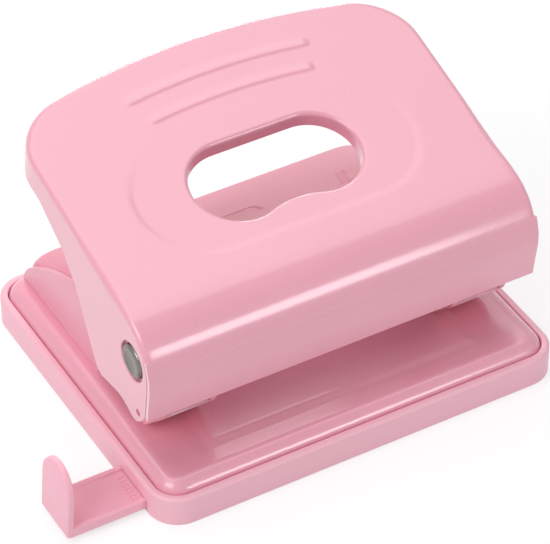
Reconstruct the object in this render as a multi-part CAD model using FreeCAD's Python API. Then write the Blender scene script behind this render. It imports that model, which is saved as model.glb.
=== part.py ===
import FreeCAD, Part
import math
import os
from FreeCAD import Vector

# Two-hole paper punch: a plastic chip tray, a pressed base plate, two punch frames,
# a pressed hand lever, sprung punches and a sliding paper guide.
# Millimetres. X runs along the lever's pivot axis, -Y is the side where the paper
# goes in, +Z is up. The origin is the centre of the tray's underside.

# ---------------------------------------------------------------- chip tray
tray_side_past_punch = 15.0
tray_depth = 91.0
tray_height = 8.0
tray_corner = 8.0
tray_rim = 2.0
tray_floor = 1.2
tray_ledge_width = 1.6
tray_ledge_height = 5.4
tray_rim_round = 0.8

# ---------------------------------------------------------------- base plate
base_sheet = 1.0
base_height = 10.5
base_edge_radius = 4.0
base_tray_gap = 0.15
platform_end_before_punch = 2.5
platform_front_inset = 9.8
platform_length = 19.0
platform_rise = 0.9
platform_slope = 2.2
platform_corner = 2.5

# ---------------------------------------------------------------- punches and dies
hole_pitch = 80.0
hole_margin = 12.0
paper_stop_setback = 46.4
paper_slot = 2.0
punch_diameter = 5.5
punch_running_gap = 0.05
punch_rest_lift = 0.7
punch_press_gap = 0.5
punch_crown_radius = 4.0
punch_saddle_radius = 6.0
die_clearance = 0.1
die_diameter = 9.0
die_flange_diameter = 13.0
die_flange_thickness = 1.5
ring_thickness = 0.7
ring_diameter = 9.2
ring_groove_depth = 0.65
ring_groove_gap = 0.1
ring_drop = 5.6
spring_wire = 0.9
spring_diameter = 8.6
spring_turns = 5.0
spring_end_gap = 0.1

# ---------------------------------------------------------------- punch frames
frame_sheet = 1.5
frame_width = 15.0
pivot_ahead = 16.2
pivot_rise = 28.1
pivot_diameter = 5.0
pivot_running_gap = 0.05
pivot_lobe_radius = 6.5
stop_drop = 11.6
stop_gap = 0.35
jaw_length = 23.4
lip_run = 7.3
lip_rise = 7.1
guide_web_height = 18.0
guide_web_front = 7.0
guide_web_rear = 7.2
cheek_foot_inset = 2.15
cheek_heel_ahead = 2.0
cheek_heel_rise = 3.7
cheek_knee_ahead = 5.6
cheek_knee_rise = 7.1
cheek_brow_ahead = 16.0
cheek_brow_rise = 13.6
cheek_crest_behind = 10.1
cheek_crest_rise = 19.5
inner_cheek_behind = 13.1
foot_flange_width = 10.0
foot_flange_ahead = 5.2
rivet_diameter = 3.0
rivet_head_diameter = 5.4
rivet_head_height = 0.9
rivet_hole_gap = 0.05
frame_rivet_behind = 7.1
frame_rivet_ahead = 11.2
frame_rivet_shift = 1.0

# ---------------------------------------------------------------- rear hood
hood_sheet = 0.8
hood_front_behind = 4.1
hood_front_rise = 25.1
hood_knee_radius = 10.0
hood_foot_rise = 0.9
hood_foot_inset = 2.15
hood_end_radius = 3.0
hood_flange_depth = 7.0
hood_flange_end_inset = 13.0
hood_rivet_pitch = 40.0
hood_foot_gap = 0.3

# ---------------------------------------------------------------- lever
lever_sheet = 1.0
lever_side_gap = 4.1
lever_slope = 15.0
lever_rise = 11.4
lever_edge_radius = 2.0
front_bend_radius = 9.0
skirt_distance = 8.7
skirt_splay = 7.6
skirt_drop = 13.7
lever_length = 72.0
rear_corner_radius = 16.0
rear_bow_radius = 180.0
side_wall_drop = 17.2
side_wall_front_ahead = 1.5
side_wall_rear_behind = 17.9
side_wall_arch = 1.8
side_wall_mid_along = 26.9
side_wall_mid_normal = -5.7
side_wall_high_along = 42.0
side_wall_high_normal = 1.7
side_wall_end_along = 52.5
side_wall_end_normal = 2.9
rear_flange_along = 58.0
rear_flange_depth = 4.4
hand_hole_along = 29.3
hand_hole_half_width = 22.1
hand_hole_end_radius = 11.4
hand_hole_bump_radius = 20.0
hand_hole_flange = 3.5
hand_hole_lip_radius = 0.9
dish_half_width = 36.8
dish_half_depth = 17.1
dish_depth = 0.5
dish_slope = 1.8
bar_width = 2.6
bar_height = 0.45
upper_bar_along = 61.1
upper_bar_length = 51.0
lower_bar_along = 53.7
lower_bar_length = 46.0

# ---------------------------------------------------------------- pivot hardware
dimple_depth = 1.2
dimple_diameter = 10.2
dimple_wall = 1.0
pivot_head_diameter = 8.8
pivot_head_height = 1.5
pivot_head_gap = 0.1
spacer_diameter = 8.0
spacer_end_gap = 0.1
pivot_ring_gap = 0.1
pivot_ring_land = 0.9

# ---------------------------------------------------------------- paper guide
guide_width = 13.6
guide_thickness = 2.4
guide_setback = 15.3
guide_floor_gap = 0.1
guide_side_gap = 0.15
guide_roof_gap = 0.15
guide_stop_past_tray = 19.0
guide_travel_in = 18.2
guide_end_gap = 0.3
guide_tab_thickness = 1.6
guide_tab_height = 18.0
guide_tab_lean = 4.0
guide_border = 1.5
guide_recess = 0.5
guide_tick_pitch = 2.5
guide_tick_count = 12
guide_tick_width = 0.4
guide_tick_depth = 0.25
guide_tick_length = 3.0
guide_tick_start = 10.0
tunnel_wall = 1.2
tunnel_roof = 1.0

# ---------------------------------------------------------------- derived places
tray_width = hole_pitch + 2 * tray_side_past_punch
platform_width = hole_pitch - 2 * platform_end_before_punch
base_half_width = tray_width / 2 - tray_rim - base_tray_gap
base_half_depth = tray_depth / 2 - tray_rim - base_tray_gap
base_corner = tray_corner - tray_rim - base_tray_gap
base_underside = base_height - base_sheet
paper_stop_y = -tray_depth / 2 + paper_stop_setback
punch_x = hole_pitch / 2
punch_y = paper_stop_y - hole_margin
pivot_y = punch_y - pivot_ahead
pivot_height = base_height + pivot_rise
cheek_outer_x = punch_x + frame_width / 2
cheek_inner_x = cheek_outer_x - frame_sheet
hood_flange_width = 2 * (cheek_inner_x - hood_flange_end_inset)
inner_plate_x = punch_x - frame_width / 2
jaw_bottom = base_height + paper_slot
jaw_front_y = paper_stop_y - jaw_length
cheek_foot_y = base_half_depth - cheek_foot_inset
inner_cheek_rear = paper_stop_y + inner_cheek_behind
foot_flange_rear = cheek_foot_y - foot_flange_ahead
hood_foot_y = base_half_depth - hood_foot_inset
side_wall_bottom = pivot_height - side_wall_drop
skirt_bottom = pivot_height - skirt_drop
lever_half_width = cheek_outer_x + lever_side_gap + lever_sheet
guide_y = -tray_depth / 2 + guide_setback
guide_bottom = tray_floor + guide_floor_gap
guide_top = guide_bottom + guide_thickness
guide_web_bottom = base_height + guide_web_height
guide_web_top = guide_web_bottom + frame_sheet
tray_inside_x = tray_width / 2 - tray_rim - tray_ledge_width
guide_stop_distance = tray_width / 2 + guide_stop_past_tray
guide_inner_end = tray_inside_x - guide_travel_in - guide_end_gap

# far enough to pass right through the object, a cut's run past a face, and equal lengths
reach = 200.0
cut_margin = 1.0
tolerance = 1e-4

pivot_axis_point = Vector(0, pivot_y, pivot_height)
along_plate = Vector(0, math.cos(math.radians(lever_slope)), math.sin(math.radians(lever_slope)))
off_plate = Vector(0, -math.sin(math.radians(lever_slope)), math.cos(math.radians(lever_slope)))
across = Vector(1, 0, 0)

sides = {"left": -1, "right": 1}


# ================================================================ helpers
def box(x_low, x_high, y_low, y_high, z_low, z_high):
    """Block between two corners."""
    corner = Vector(x_low, y_low, z_low)
    return Part.makeBox(x_high - x_low, y_high - y_low, z_high - z_low, corner)


def side_box(side, x_low, x_high, y_low, y_high, z_low, z_high):
    """Block on the left (side -1) or right (side 1) half, given by distances from the middle."""
    ends = sorted((side * x_low, side * x_high))
    return box(ends[0], ends[1], y_low, y_high, z_low, z_high)


def upright_cylinder(diameter, x, y, z_low, z_high):
    """Cylinder with a vertical axis."""
    return Part.makeCylinder(diameter / 2, z_high - z_low, Vector(x, y, z_low))


def cross_cylinder(diameter, x_low, x_high, y, z):
    """Cylinder with its axis along X."""
    return Part.makeCylinder(diameter / 2, x_high - x_low, Vector(x_low, y, z), across)


def rounded_outline(width, depth, radius, z):
    """Closed outline of a rectangle with rounded corners, centred on the origin."""
    x = width / 2
    y = depth / 2
    cut = radius * (1 - math.sqrt(0.5))
    edges = []
    for sx, sy in ((1, 1), (-1, 1), (-1, -1), (1, -1)):
        start = Vector(sx * x, sy * (y - radius), z)
        middle = Vector(sx * (x - cut), sy * (y - cut), z)
        end = Vector(sx * (x - radius), sy * y, z)
        if sx * sy < 0:
            start, end = end, start
        edges.append((start, middle, end))
    shape = []
    for index, (start, middle, end) in enumerate(edges):
        shape.append(Part.Arc(start, middle, end).toShape())
        following = edges[(index + 1) % len(edges)][0]
        shape.append(Part.makeLine(end, following))
    return Part.Wire(shape)


def rounded_block(width, depth, radius, z_low, z_high):
    """Upright block with a rounded-rectangle plan, centred on the origin."""
    face = Part.Face(rounded_outline(width, depth, radius, z_low))
    return face.extrude(Vector(0, 0, z_high - z_low))


def at_height(shape, z):
    """Edges of a shape that lie wholly at one height."""
    return [edge for edge in shape.Edges
            if abs(edge.BoundBox.ZMin - z) < tolerance and abs(edge.BoundBox.ZMax - z) < tolerance]


def yz(y, z):
    """Point in the middle plane."""
    return Vector(0, y, z)


def on_plate(along, normal, x=0.0):
    """Point given along and square to the lever's plate, measured from the pivot axis."""
    return pivot_axis_point + across * x + along_plate * along + off_plate * normal


def line(start, end):
    """Straight edge."""
    return Part.makeLine(start, end)


def arc(start, middle, end):
    """Round edge through three points."""
    return Part.Arc(start, middle, end).toShape()


def prism_across(edges, x_low, x_high):
    """Solid carried along X from a closed outline in the middle plane."""
    face = Part.Face(Part.Wire(edges))
    face.translate(Vector(x_low, 0, 0))
    return face.extrude(Vector(x_high - x_low, 0, 0))


def polygon_across(points, x_low, x_high):
    """Solid carried along X from a closed polygon in the middle plane."""
    edges = [line(a, b) for a, b in zip(points, points[1:] + points[:1])]
    return prism_across(edges, x_low, x_high)


def tangent_point(outside, centre, radius, turning):
    """Point where a line touches a circle, left (1) or right (-1) of the way to an outside point."""
    span = outside - centre
    distance = math.hypot(span.y, span.z)
    heading = math.atan2(span.z, span.y)
    turn = turning * math.acos(radius / distance)
    bearing = heading + turn
    return yz(centre.y + radius * math.cos(bearing), centre.z + radius * math.sin(bearing))


def plate_prism(edges, normal_low, normal_high):
    """Solid carried square to the lever's plate from an outline drawn at the pivot axis level."""
    face = Part.Face(Part.Wire(edges))
    face.translate(off_plate * normal_low)
    return face.extrude(off_plate * (normal_high - normal_low))


def stadium(length, width, along):
    """Outline of a bar with round ends, lying along X on the lever's plate."""
    half = (length - width) / 2
    radius = width / 2
    corners = [on_plate(along + radius, 0, -half), on_plate(along + radius, 0, half),
               on_plate(along - radius, 0, half), on_plate(along - radius, 0, -half)]
    right = on_plate(along, 0, half + radius)
    left = on_plate(along, 0, -half - radius)
    return [line(corners[0], corners[1]), arc(corners[1], right, corners[2]),
            line(corners[2], corners[3]), arc(corners[3], left, corners[0])]


# ================================================================ chip tray
def guide_tunnel(grow_side, z_low, z_high, x_low, x_high):
    """Block along the paper guide's path, wider than the guide by a margin on each side."""
    half = guide_width / 2 + grow_side
    return box(x_low, x_high, guide_y - half, guide_y + half, z_low, z_high)


def chip_tray():
    """Open tray with a ledge for the base plate and a closed tunnel for the paper guide."""
    tray = rounded_block(tray_width, tray_depth, tray_corner, 0, tray_height)
    tray = tray.makeFillet(tray_rim_round, at_height(tray, tray_height))
    tray = tray.makeFillet(tray_rim_round / 2, at_height(tray, 0))
    rim_cut = 2 * tray_rim
    ledge_cut = 2 * (tray_rim + tray_ledge_width)
    tray = tray.cut(rounded_block(tray_width - rim_cut, tray_depth - rim_cut, tray_corner - tray_rim,
                                  tray_ledge_height, tray_height + tray_rim))
    inner_corner = tray_corner - tray_rim - tray_ledge_width
    tray = tray.cut(rounded_block(tray_width - ledge_cut, tray_depth - ledge_cut, inner_corner,
                                  tray_floor, tray_height))
    roof = guide_top + guide_roof_gap
    housing = guide_tunnel(guide_side_gap + tunnel_wall, tray_floor / 2, roof + tunnel_roof,
                           -tray_inside_x - tray_ledge_width / 2, tray_inside_x + tray_ledge_width / 2)
    tray = tray.fuse(housing)
    tray = tray.cut(guide_tunnel(guide_side_gap, tray_floor, roof, -reach, tray_inside_x))
    return tray.removeSplitter()


# ================================================================ paper guide
def paper_guide():
    """Flat bar with a sunk scale face and a rounded stop that leans in at its outer end."""
    half = guide_width / 2
    bar = guide_tunnel(0, guide_bottom, guide_top, -guide_stop_distance, guide_inner_end)
    recess_end = guide_inner_end - guide_border
    bar = bar.cut(guide_tunnel(-guide_border, guide_top - guide_recess, guide_top + guide_recess,
                               -guide_stop_distance + guide_border, recess_end))
    recess_floor = guide_top - guide_recess
    tick_front = guide_y - half + guide_border
    for index in range(guide_tick_count):
        x = -guide_stop_distance + guide_tick_start + index * guide_tick_pitch
        bar = bar.cut(box(x, x + guide_tick_width, tick_front, tick_front + guide_tick_length,
                          recess_floor - guide_tick_depth, guide_top))
    outer = -guide_stop_distance - guide_tab_thickness
    shoulder = guide_bottom + guide_tab_height - half
    edges = [line(yz(guide_y - half, guide_bottom), yz(guide_y - half, shoulder)),
             arc(yz(guide_y - half, shoulder), yz(guide_y, shoulder + half), yz(guide_y + half, shoulder)),
             line(yz(guide_y + half, shoulder), yz(guide_y + half, guide_bottom)),
             line(yz(guide_y + half, guide_bottom), yz(guide_y - half, guide_bottom))]
    tab = prism_across(edges, outer, -guide_stop_distance)
    rims = [edge for edge in tab.Edges
            if edge.BoundBox.XLength < tolerance and edge.BoundBox.ZMax > guide_top]
    tab = tab.makeFillet(guide_tab_thickness / 4, rims)
    tab.rotate(Vector(-guide_stop_distance, guide_y, guide_bottom), Vector(0, 1, 0), guide_tab_lean)
    return bar.fuse(tab).removeSplitter()


# ================================================================ base plate
def base_block(inset):
    """Solid under the base plate's outer face, moved inwards by an inset."""
    top = base_height - inset
    bottom = tray_ledge_height - inset
    block = rounded_block(2 * (base_half_width - inset), 2 * (base_half_depth - inset),
                          base_corner - inset, bottom, top)
    return block.makeFillet(base_edge_radius - inset, at_height(block, top))


def platform(level):
    """Low raised field with sloping sides, standing on a given level."""
    front = -tray_depth / 2 + platform_front_inset
    middle = front + platform_length / 2
    outlines = []
    for shrink, rise in ((0, 0), (platform_slope, platform_rise)):
        outline = rounded_outline(platform_width - 2 * shrink, platform_length - 2 * shrink,
                                  platform_corner, level + rise)
        outline.translate(Vector(0, middle, 0))
        outlines.append(outline)
    return Part.makeLoft(outlines, True, True)


def rivet_places():
    """Places of the rivets that hold the frames and the hood."""
    frame_places = []
    for side in sides.values():
        frame_places.append((side * punch_x, paper_stop_y + frame_rivet_behind))
        frame_places.append((side * (punch_x + frame_rivet_shift), cheek_foot_y - frame_rivet_ahead))
    hood_y = hood_foot_y - hood_sheet - hood_flange_depth / 2
    hood_places = [(side * hood_rivet_pitch / 2, hood_y) for side in sides.values()]
    return frame_places, hood_places


def base_plate():
    """Pressed plate with rounded edges, a raised field, two die holes and rivet holes."""
    plate = base_block(0).cut(base_block(base_sheet))
    plate = plate.fuse(platform(base_height))
    plate = plate.cut(platform(base_underside))
    for side in sides.values():
        plate = plate.cut(upright_cylinder(die_diameter, side * punch_x, punch_y, 0, reach))
    for places in rivet_places():
        for x, y in places:
            plate = plate.cut(upright_cylinder(rivet_diameter + 2 * rivet_hole_gap, x, y, 0, reach))
    return plate.removeSplitter()


def die_bush(side):
    """Hardened bush flush with the plate's top, its flange under the plate."""
    x = side * punch_x
    flange_bottom = base_underside - die_flange_thickness
    bush = upright_cylinder(die_diameter, x, punch_y, flange_bottom, base_height)
    bush = bush.fuse(upright_cylinder(die_flange_diameter, x, punch_y, flange_bottom, base_underside))
    bore = punch_diameter + 2 * die_clearance
    return bush.cut(upright_cylinder(bore, x, punch_y, 0, reach))


# ================================================================ punch frames
def skirt_line_y(z, inward):
    """Y of the lever's front skirt at a height, moved inwards by a distance."""
    lean = math.radians(lever_slope - skirt_splay)
    return pivot_y - (skirt_distance - inward - (pivot_height - z) * math.sin(lean)) / math.cos(lean)


def cheek_outline():
    """Outline of a punch frame's outer cheek, seen along X."""
    base = base_height
    lobe = pivot_axis_point
    crest = yz(paper_stop_y + cheek_crest_behind, base + cheek_crest_rise)
    brow = yz(cheek_foot_y - cheek_brow_ahead, base + cheek_brow_rise)
    knee = yz(cheek_foot_y - cheek_knee_ahead, base + cheek_knee_rise)
    heel_bend = yz(cheek_foot_y - cheek_heel_ahead, base + cheek_heel_rise)
    foot = yz(cheek_foot_y, base)
    touch = tangent_point(crest, lobe, pivot_lobe_radius, 1)
    lobe_front = yz(pivot_y - pivot_lobe_radius, pivot_height)
    half_turn = (math.atan2(touch.z - lobe.z, touch.y - lobe.y) + math.pi) / 2
    lobe_middle = yz(lobe.y + pivot_lobe_radius * math.cos(half_turn),
                     lobe.z + pivot_lobe_radius * math.sin(half_turn))
    stop_height = pivot_height - stop_drop
    nose = yz(skirt_line_y(stop_height, lever_sheet + stop_gap), stop_height)
    lip = yz(jaw_front_y - lip_run, jaw_bottom + lip_rise)
    jaw_front = yz(jaw_front_y, jaw_bottom)
    jaw_rear = yz(paper_stop_y, jaw_bottom)
    heel = yz(paper_stop_y, base)
    return [line(heel, foot),
            arc(foot, heel_bend, knee),
            arc(knee, brow, crest),
            line(crest, touch),
            arc(touch, lobe_middle, lobe_front),
            line(lobe_front, nose),
            line(nose, lip),
            line(lip, jaw_front),
            line(jaw_front, jaw_rear),
            line(jaw_rear, heel)]


def punch_frame(side):
    """Folded frame: outer and inner cheeks, jaw with a lead-in lip, guide web and foot."""
    outer_ends = sorted((side * cheek_inner_x, side * cheek_outer_x))
    inner_ends = sorted((side * inner_plate_x, side * (inner_plate_x + frame_sheet)))
    web_ends = sorted((side * inner_plate_x, side * cheek_outer_x))
    frame = prism_across(cheek_outline(), outer_ends[0], outer_ends[1])
    inner = prism_across(cheek_outline(), inner_ends[0], inner_ends[1])
    frame = frame.fuse(inner.cut(box(-reach, reach, inner_cheek_rear, reach, 0, reach)))
    lip_angle = math.atan2(lip_rise, lip_run)
    lip_turn = frame_sheet * math.tan(lip_angle / 2)
    lip_y = jaw_front_y - lip_run
    lip_z = jaw_bottom + lip_rise
    jaw = [yz(paper_stop_y, jaw_bottom), yz(jaw_front_y, jaw_bottom), yz(lip_y, lip_z),
           yz(lip_y + frame_sheet * math.sin(lip_angle), lip_z + frame_sheet * math.cos(lip_angle)),
           yz(jaw_front_y + lip_turn, jaw_bottom + frame_sheet),
           yz(paper_stop_y, jaw_bottom + frame_sheet)]
    frame = frame.fuse(polygon_across(jaw, web_ends[0], web_ends[1]))
    stop_wall = side_box(side, inner_plate_x, cheek_outer_x, paper_stop_y, paper_stop_y + frame_sheet,
                         base_height, jaw_bottom + frame_sheet)
    foot_top = base_height + frame_sheet
    foot = side_box(side, inner_plate_x, cheek_outer_x, paper_stop_y, inner_cheek_rear,
                    base_height, foot_top)
    flange = side_box(side, cheek_outer_x - frame_sheet - foot_flange_width, cheek_outer_x,
                      paper_stop_y, foot_flange_rear, base_height, foot_top)
    web = side_box(side, inner_plate_x, cheek_outer_x, punch_y - guide_web_front,
                   punch_y + guide_web_rear, guide_web_bottom, guide_web_top)
    for piece in (stop_wall, foot, flange, web):
        frame = frame.fuse(piece)
    bore = punch_diameter + 2 * punch_running_gap
    frame = frame.cut(upright_cylinder(bore, side * punch_x, punch_y, base_height, reach))
    pivot_bore = pivot_diameter + 2 * pivot_running_gap
    frame = frame.cut(cross_cylinder(pivot_bore, -reach, reach, pivot_y, pivot_height))
    for x, y in rivet_places()[0]:
        hole = rivet_diameter + 2 * rivet_hole_gap
        frame = frame.cut(upright_cylinder(hole, x, y, 0, foot_top + frame_sheet / 2))
    return frame.removeSplitter()


def rivet(x, y, clamp_top):
    """Rivet with low round heads, from under the base plate to the top of what it holds."""
    shank = upright_cylinder(rivet_diameter, x, y, base_underside, clamp_top)
    crown = rivet_head_height + (rivet_head_diameter / 2) ** 2 / (4 * rivet_head_height)
    for face, direction in ((clamp_top, 1), (base_underside, -1)):
        ball = Part.makeSphere(crown, Vector(x, y, face + direction * (rivet_head_height - crown)))
        ends = sorted((face, face + direction * rivet_head_height))
        head = upright_cylinder(rivet_head_diameter, x, y, ends[0], ends[1]).common(ball)
        shank = shank.fuse(head)
    return shank.removeSplitter()


# ================================================================ rear hood
def hood_block(inset):
    """Solid under the hood's outer skin, moved inwards by an inset and then open at the front."""
    centre = yz(hood_foot_y - hood_knee_radius, base_height + hood_foot_rise)
    crest = yz(paper_stop_y + hood_front_behind, base_height + hood_front_rise)
    touch = tangent_point(crest, centre, hood_knee_radius, -1)
    outward = (touch - centre) * (1 / hood_knee_radius)
    middle = (outward + yz(1, 0)).normalize()
    radius = hood_knee_radius - inset
    front_top = crest - outward * inset
    if inset:
        front_top = front_top + (crest - touch)
    floor = base_height - base_edge_radius
    front_low = yz(front_top.y, floor)
    rear_low = yz(centre.y + radius, floor)
    edges = [line(front_top, centre + outward * radius),
             arc(centre + outward * radius, centre + middle * radius, centre + yz(radius, 0)),
             line(centre + yz(radius, 0), rear_low),
             line(rear_low, front_low),
             line(front_low, front_top)]
    half = cheek_inner_x - inset
    block = prism_across(edges, -half, half)
    ends = []
    for edge in block.Edges:
        span = edge.BoundBox
        if span.XLength < tolerance and span.ZMin > floor + tolerance:
            ends.append(edge)
    return block.makeFillet(hood_end_radius - inset, ends)


def rear_hood():
    """Domed sheet cover behind the punches, between the two outer cheeks."""
    hood = hood_block(0).cut(hood_block(hood_sheet))
    hood = hood.cut(base_block(0))
    flange_rear = hood_foot_y - hood_sheet / 2
    hood = hood.fuse(box(-hood_flange_width / 2, hood_flange_width / 2,
                         hood_foot_y - hood_sheet - hood_flange_depth, flange_rear,
                         base_height, base_height + hood_sheet).cut(base_block(0)))
    for side in sides.values():
        gap = hood_foot_gap
        hood = hood.cut(side_box(side, cheek_inner_x - foot_flange_width - gap, cheek_outer_x,
                                 0, foot_flange_rear + gap, 0, base_height + frame_sheet + gap))
    for x, y in rivet_places()[1]:
        hole = rivet_diameter + 2 * rivet_hole_gap
        hood = hood.cut(upright_cylinder(hole, x, y, 0, base_height + 2 * hood_sheet))
    return hood.removeSplitter()


# ================================================================ lever
def lever_plan(inset):
    """Plan of the lever's plate: straight sides, round rear corners and a bowed rear edge."""
    half = lever_half_width - inset
    radius = rear_corner_radius - inset
    bow = rear_bow_radius - inset
    bow_centre = lever_length - rear_bow_radius
    corner_x = half - radius
    lean = math.asin(corner_x / (bow - radius))
    corner_along = bow_centre + (bow - radius) * math.cos(lean)
    middle = (math.pi / 2 + lean) / 2
    front = -reach / 2

    def corner_point(side, angle):
        return on_plate(corner_along + radius * math.cos(angle), 0,
                        side * (corner_x + radius * math.sin(angle)))

    right_start = corner_point(1, math.pi / 2)
    right_end = corner_point(1, lean)
    left_end = corner_point(-1, lean)
    left_start = corner_point(-1, math.pi / 2)
    return [line(on_plate(front, 0, half), right_start),
            arc(right_start, corner_point(1, middle), right_end),
            arc(right_end, on_plate(bow_centre + bow, 0), left_end),
            arc(left_end, corner_point(-1, middle), left_start),
            line(left_start, on_plate(front, 0, -half)),
            line(on_plate(front, 0, -half), on_plate(front, 0, half))]


def bend_centre_along():
    """Place along the plate of the front bend's centre, where the flat plate begins."""
    splay = math.radians(skirt_splay)
    centre_normal = lever_rise - front_bend_radius
    offset = skirt_distance - front_bend_radius
    return (centre_normal * math.sin(splay) - offset) / math.cos(splay)


def lever_block(inset):
    """Solid inside the lever's outer skin, moved inwards by an inset, open to far below."""
    splay = math.radians(skirt_splay)
    front = bend_centre_along()
    radius = front_bend_radius - inset
    centre_normal = lever_rise - front_bend_radius
    top = lever_rise - inset
    depth = 2 * side_wall_drop

    def on_bend(angle):
        return on_plate(front + radius * math.cos(angle), centre_normal + radius * math.sin(angle))

    bend_start = on_plate(front, top)
    bend_end = on_bend(math.pi - splay)
    skirt_end = bend_end - (off_plate * math.cos(splay) + along_plate * math.sin(splay)) * depth
    profile = [arc(bend_start, on_bend((math.pi / 2 + math.pi - splay) / 2), bend_end),
               line(bend_end, skirt_end),
               line(skirt_end, on_plate(reach / 2, -depth)),
               line(on_plate(reach / 2, -depth), on_plate(reach / 2, top)),
               line(on_plate(reach / 2, top), bend_start)]
    block = prism_across(profile, -reach, reach)
    block = block.common(plate_prism(lever_plan(inset), -reach, reach))
    rims = []
    for edge in block.Edges:
        points = [edge.valueAt(value) - pivot_axis_point
                  for value in (edge.FirstParameter, edge.LastParameter)]
        level = all(abs(point.dot(off_plate) - top) < tolerance for point in points)
        at_front = all(abs(point.dot(along_plate) - front) < tolerance for point in points)
        if level and not at_front:
            rims.append(edge)
    return block.makeFillet(lever_edge_radius - inset, rims)


def below_lever():
    """Space under the lever's lower edges: skirt, side walls and rear flange."""
    flange_normal = lever_rise - rear_flange_depth
    front_corner = yz(skirt_line_y(skirt_bottom, lever_sheet), skirt_bottom)
    wall_end = on_plate(side_wall_end_along, side_wall_end_normal)
    wall_high = on_plate(side_wall_high_along, side_wall_high_normal)
    wall_mid = on_plate(side_wall_mid_along, side_wall_mid_normal)
    wall_low = yz(pivot_y + side_wall_rear_behind, side_wall_bottom)
    wall_front = yz(pivot_y - side_wall_front_ahead, side_wall_bottom)
    wall_arch = (wall_front + wall_low) / 2 + yz(0, side_wall_arch)
    edges = [line(yz(-reach, skirt_bottom), front_corner),
             line(front_corner, wall_front),
             arc(wall_front, wall_arch, wall_low),
             arc(wall_low, wall_mid, wall_high),
             line(wall_high, wall_end),
             line(wall_end, on_plate(rear_flange_along, flange_normal)),
             line(on_plate(rear_flange_along, flange_normal), on_plate(reach, flange_normal)),
             line(on_plate(reach, flange_normal), yz(reach, -reach)),
             line(yz(reach, -reach), yz(-reach, -reach)),
             line(yz(-reach, -reach), yz(-reach, skirt_bottom))]
    return prism_across(edges, -reach, reach)


def hand_hole_outline(grow):
    """Bean outline: straight rear edge, round ends and a soft bump at the front edge."""
    radius = hand_hole_end_radius + grow
    bump = hand_hole_bump_radius - grow
    centre_x = hand_hole_half_width - hand_hole_end_radius
    span = hand_hole_end_radius + hand_hole_bump_radius
    drop = math.sqrt(span ** 2 - centre_x ** 2)
    bump_centre = hand_hole_along - drop
    rear = hand_hole_along + radius
    touch_x = centre_x - radius * centre_x / span
    touch_along = hand_hole_along - radius * drop / span
    return [line(on_plate(rear, 0, -centre_x), on_plate(rear, 0, centre_x)),
            arc(on_plate(rear, 0, centre_x), on_plate(hand_hole_along, 0, centre_x + radius),
                on_plate(touch_along, 0, touch_x)),
            arc(on_plate(touch_along, 0, touch_x), on_plate(bump_centre + bump, 0, 0),
                on_plate(touch_along, 0, -touch_x)),
            arc(on_plate(touch_along, 0, -touch_x), on_plate(hand_hole_along, 0, -centre_x - radius),
                on_plate(rear, 0, -centre_x))]


def dish_block(drop):
    """Shallow stadium pressed into the plate round the hand hole, moved down by a distance."""
    wires = []
    for shrink, level in ((0, 0), (dish_slope, -dish_depth)):
        wire = Part.Wire(stadium(2 * (dish_half_width - shrink), 2 * (dish_half_depth - shrink),
                                 hand_hole_along))
        wire.translate(off_plate * (lever_rise + level - drop))
        wires.append(wire)
    return Part.makeLoft(wires, True, True)


def bowed_bar_outline(length, width, along):
    """Outline of a round-ended bar that keeps the same distance from the plate's bowed rear edge."""
    bow_centre = lever_length - rear_bow_radius
    middle = along - bow_centre
    turn = (length - width) / 2 / middle
    tip = width / 2 / middle

    def at(angle, radius):
        return on_plate(bow_centre + radius * math.cos(angle), 0, radius * math.sin(angle))

    outer = middle + width / 2
    inner = middle - width / 2
    return [arc(at(-turn, outer), at(0, outer), at(turn, outer)),
            arc(at(turn, outer), at(turn + tip, middle), at(turn, inner)),
            arc(at(turn, inner), at(0, inner), at(-turn, inner)),
            arc(at(-turn, inner), at(-turn - tip, middle), at(-turn, outer))]


def pressed_bar(length, along):
    """Raised bar on the plate and the groove under it."""
    raised = plate_prism(bowed_bar_outline(length, bar_width, along), lever_rise - bar_height / 2,
                         lever_rise + bar_height)
    groove = plate_prism(bowed_bar_outline(length - bar_height, bar_width - bar_height, along),
                         lever_rise - 2 * lever_sheet, lever_rise - lever_sheet + bar_height)
    return raised, groove


def lever():
    """Pressed lever: plate, front bend and skirt, side walls, hand hole, dish and bars."""
    shell = lever_block(0).cut(lever_block(lever_sheet))
    shell = shell.cut(dish_block(0)).fuse(dish_block(lever_sheet))
    hole_low = lever_rise - hand_hole_flange
    collar = plate_prism(hand_hole_outline(lever_sheet), hole_low, lever_rise - dish_depth)
    shell = shell.fuse(collar).cut(plate_prism(hand_hole_outline(0), 0, reach))
    shell = round_hand_hole(shell.removeSplitter())
    for length, along in ((upper_bar_length, upper_bar_along), (lower_bar_length, lower_bar_along)):
        raised, groove = pressed_bar(length, along)
        shell = shell.fuse(raised).cut(groove)
    shell = shell.cut(below_lever())
    wall_x = lever_half_width
    for side in sides.values():
        floor_x = wall_x - dimple_depth
        seat = sorted((side * (floor_x - dimple_wall), side * (wall_x - lever_sheet / 2)))
        well = sorted((side * floor_x, side * (wall_x + lever_sheet)))
        shell = shell.fuse(cross_cylinder(dimple_diameter + 2 * dimple_wall, seat[0], seat[1],
                                          pivot_y, pivot_height))
        shell = shell.cut(cross_cylinder(dimple_diameter, well[0], well[1], pivot_y, pivot_height))
    bore = pivot_diameter + 2 * pivot_running_gap
    shell = shell.cut(cross_cylinder(bore, -reach, reach, pivot_y, pivot_height))
    return shell.removeSplitter()


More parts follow.
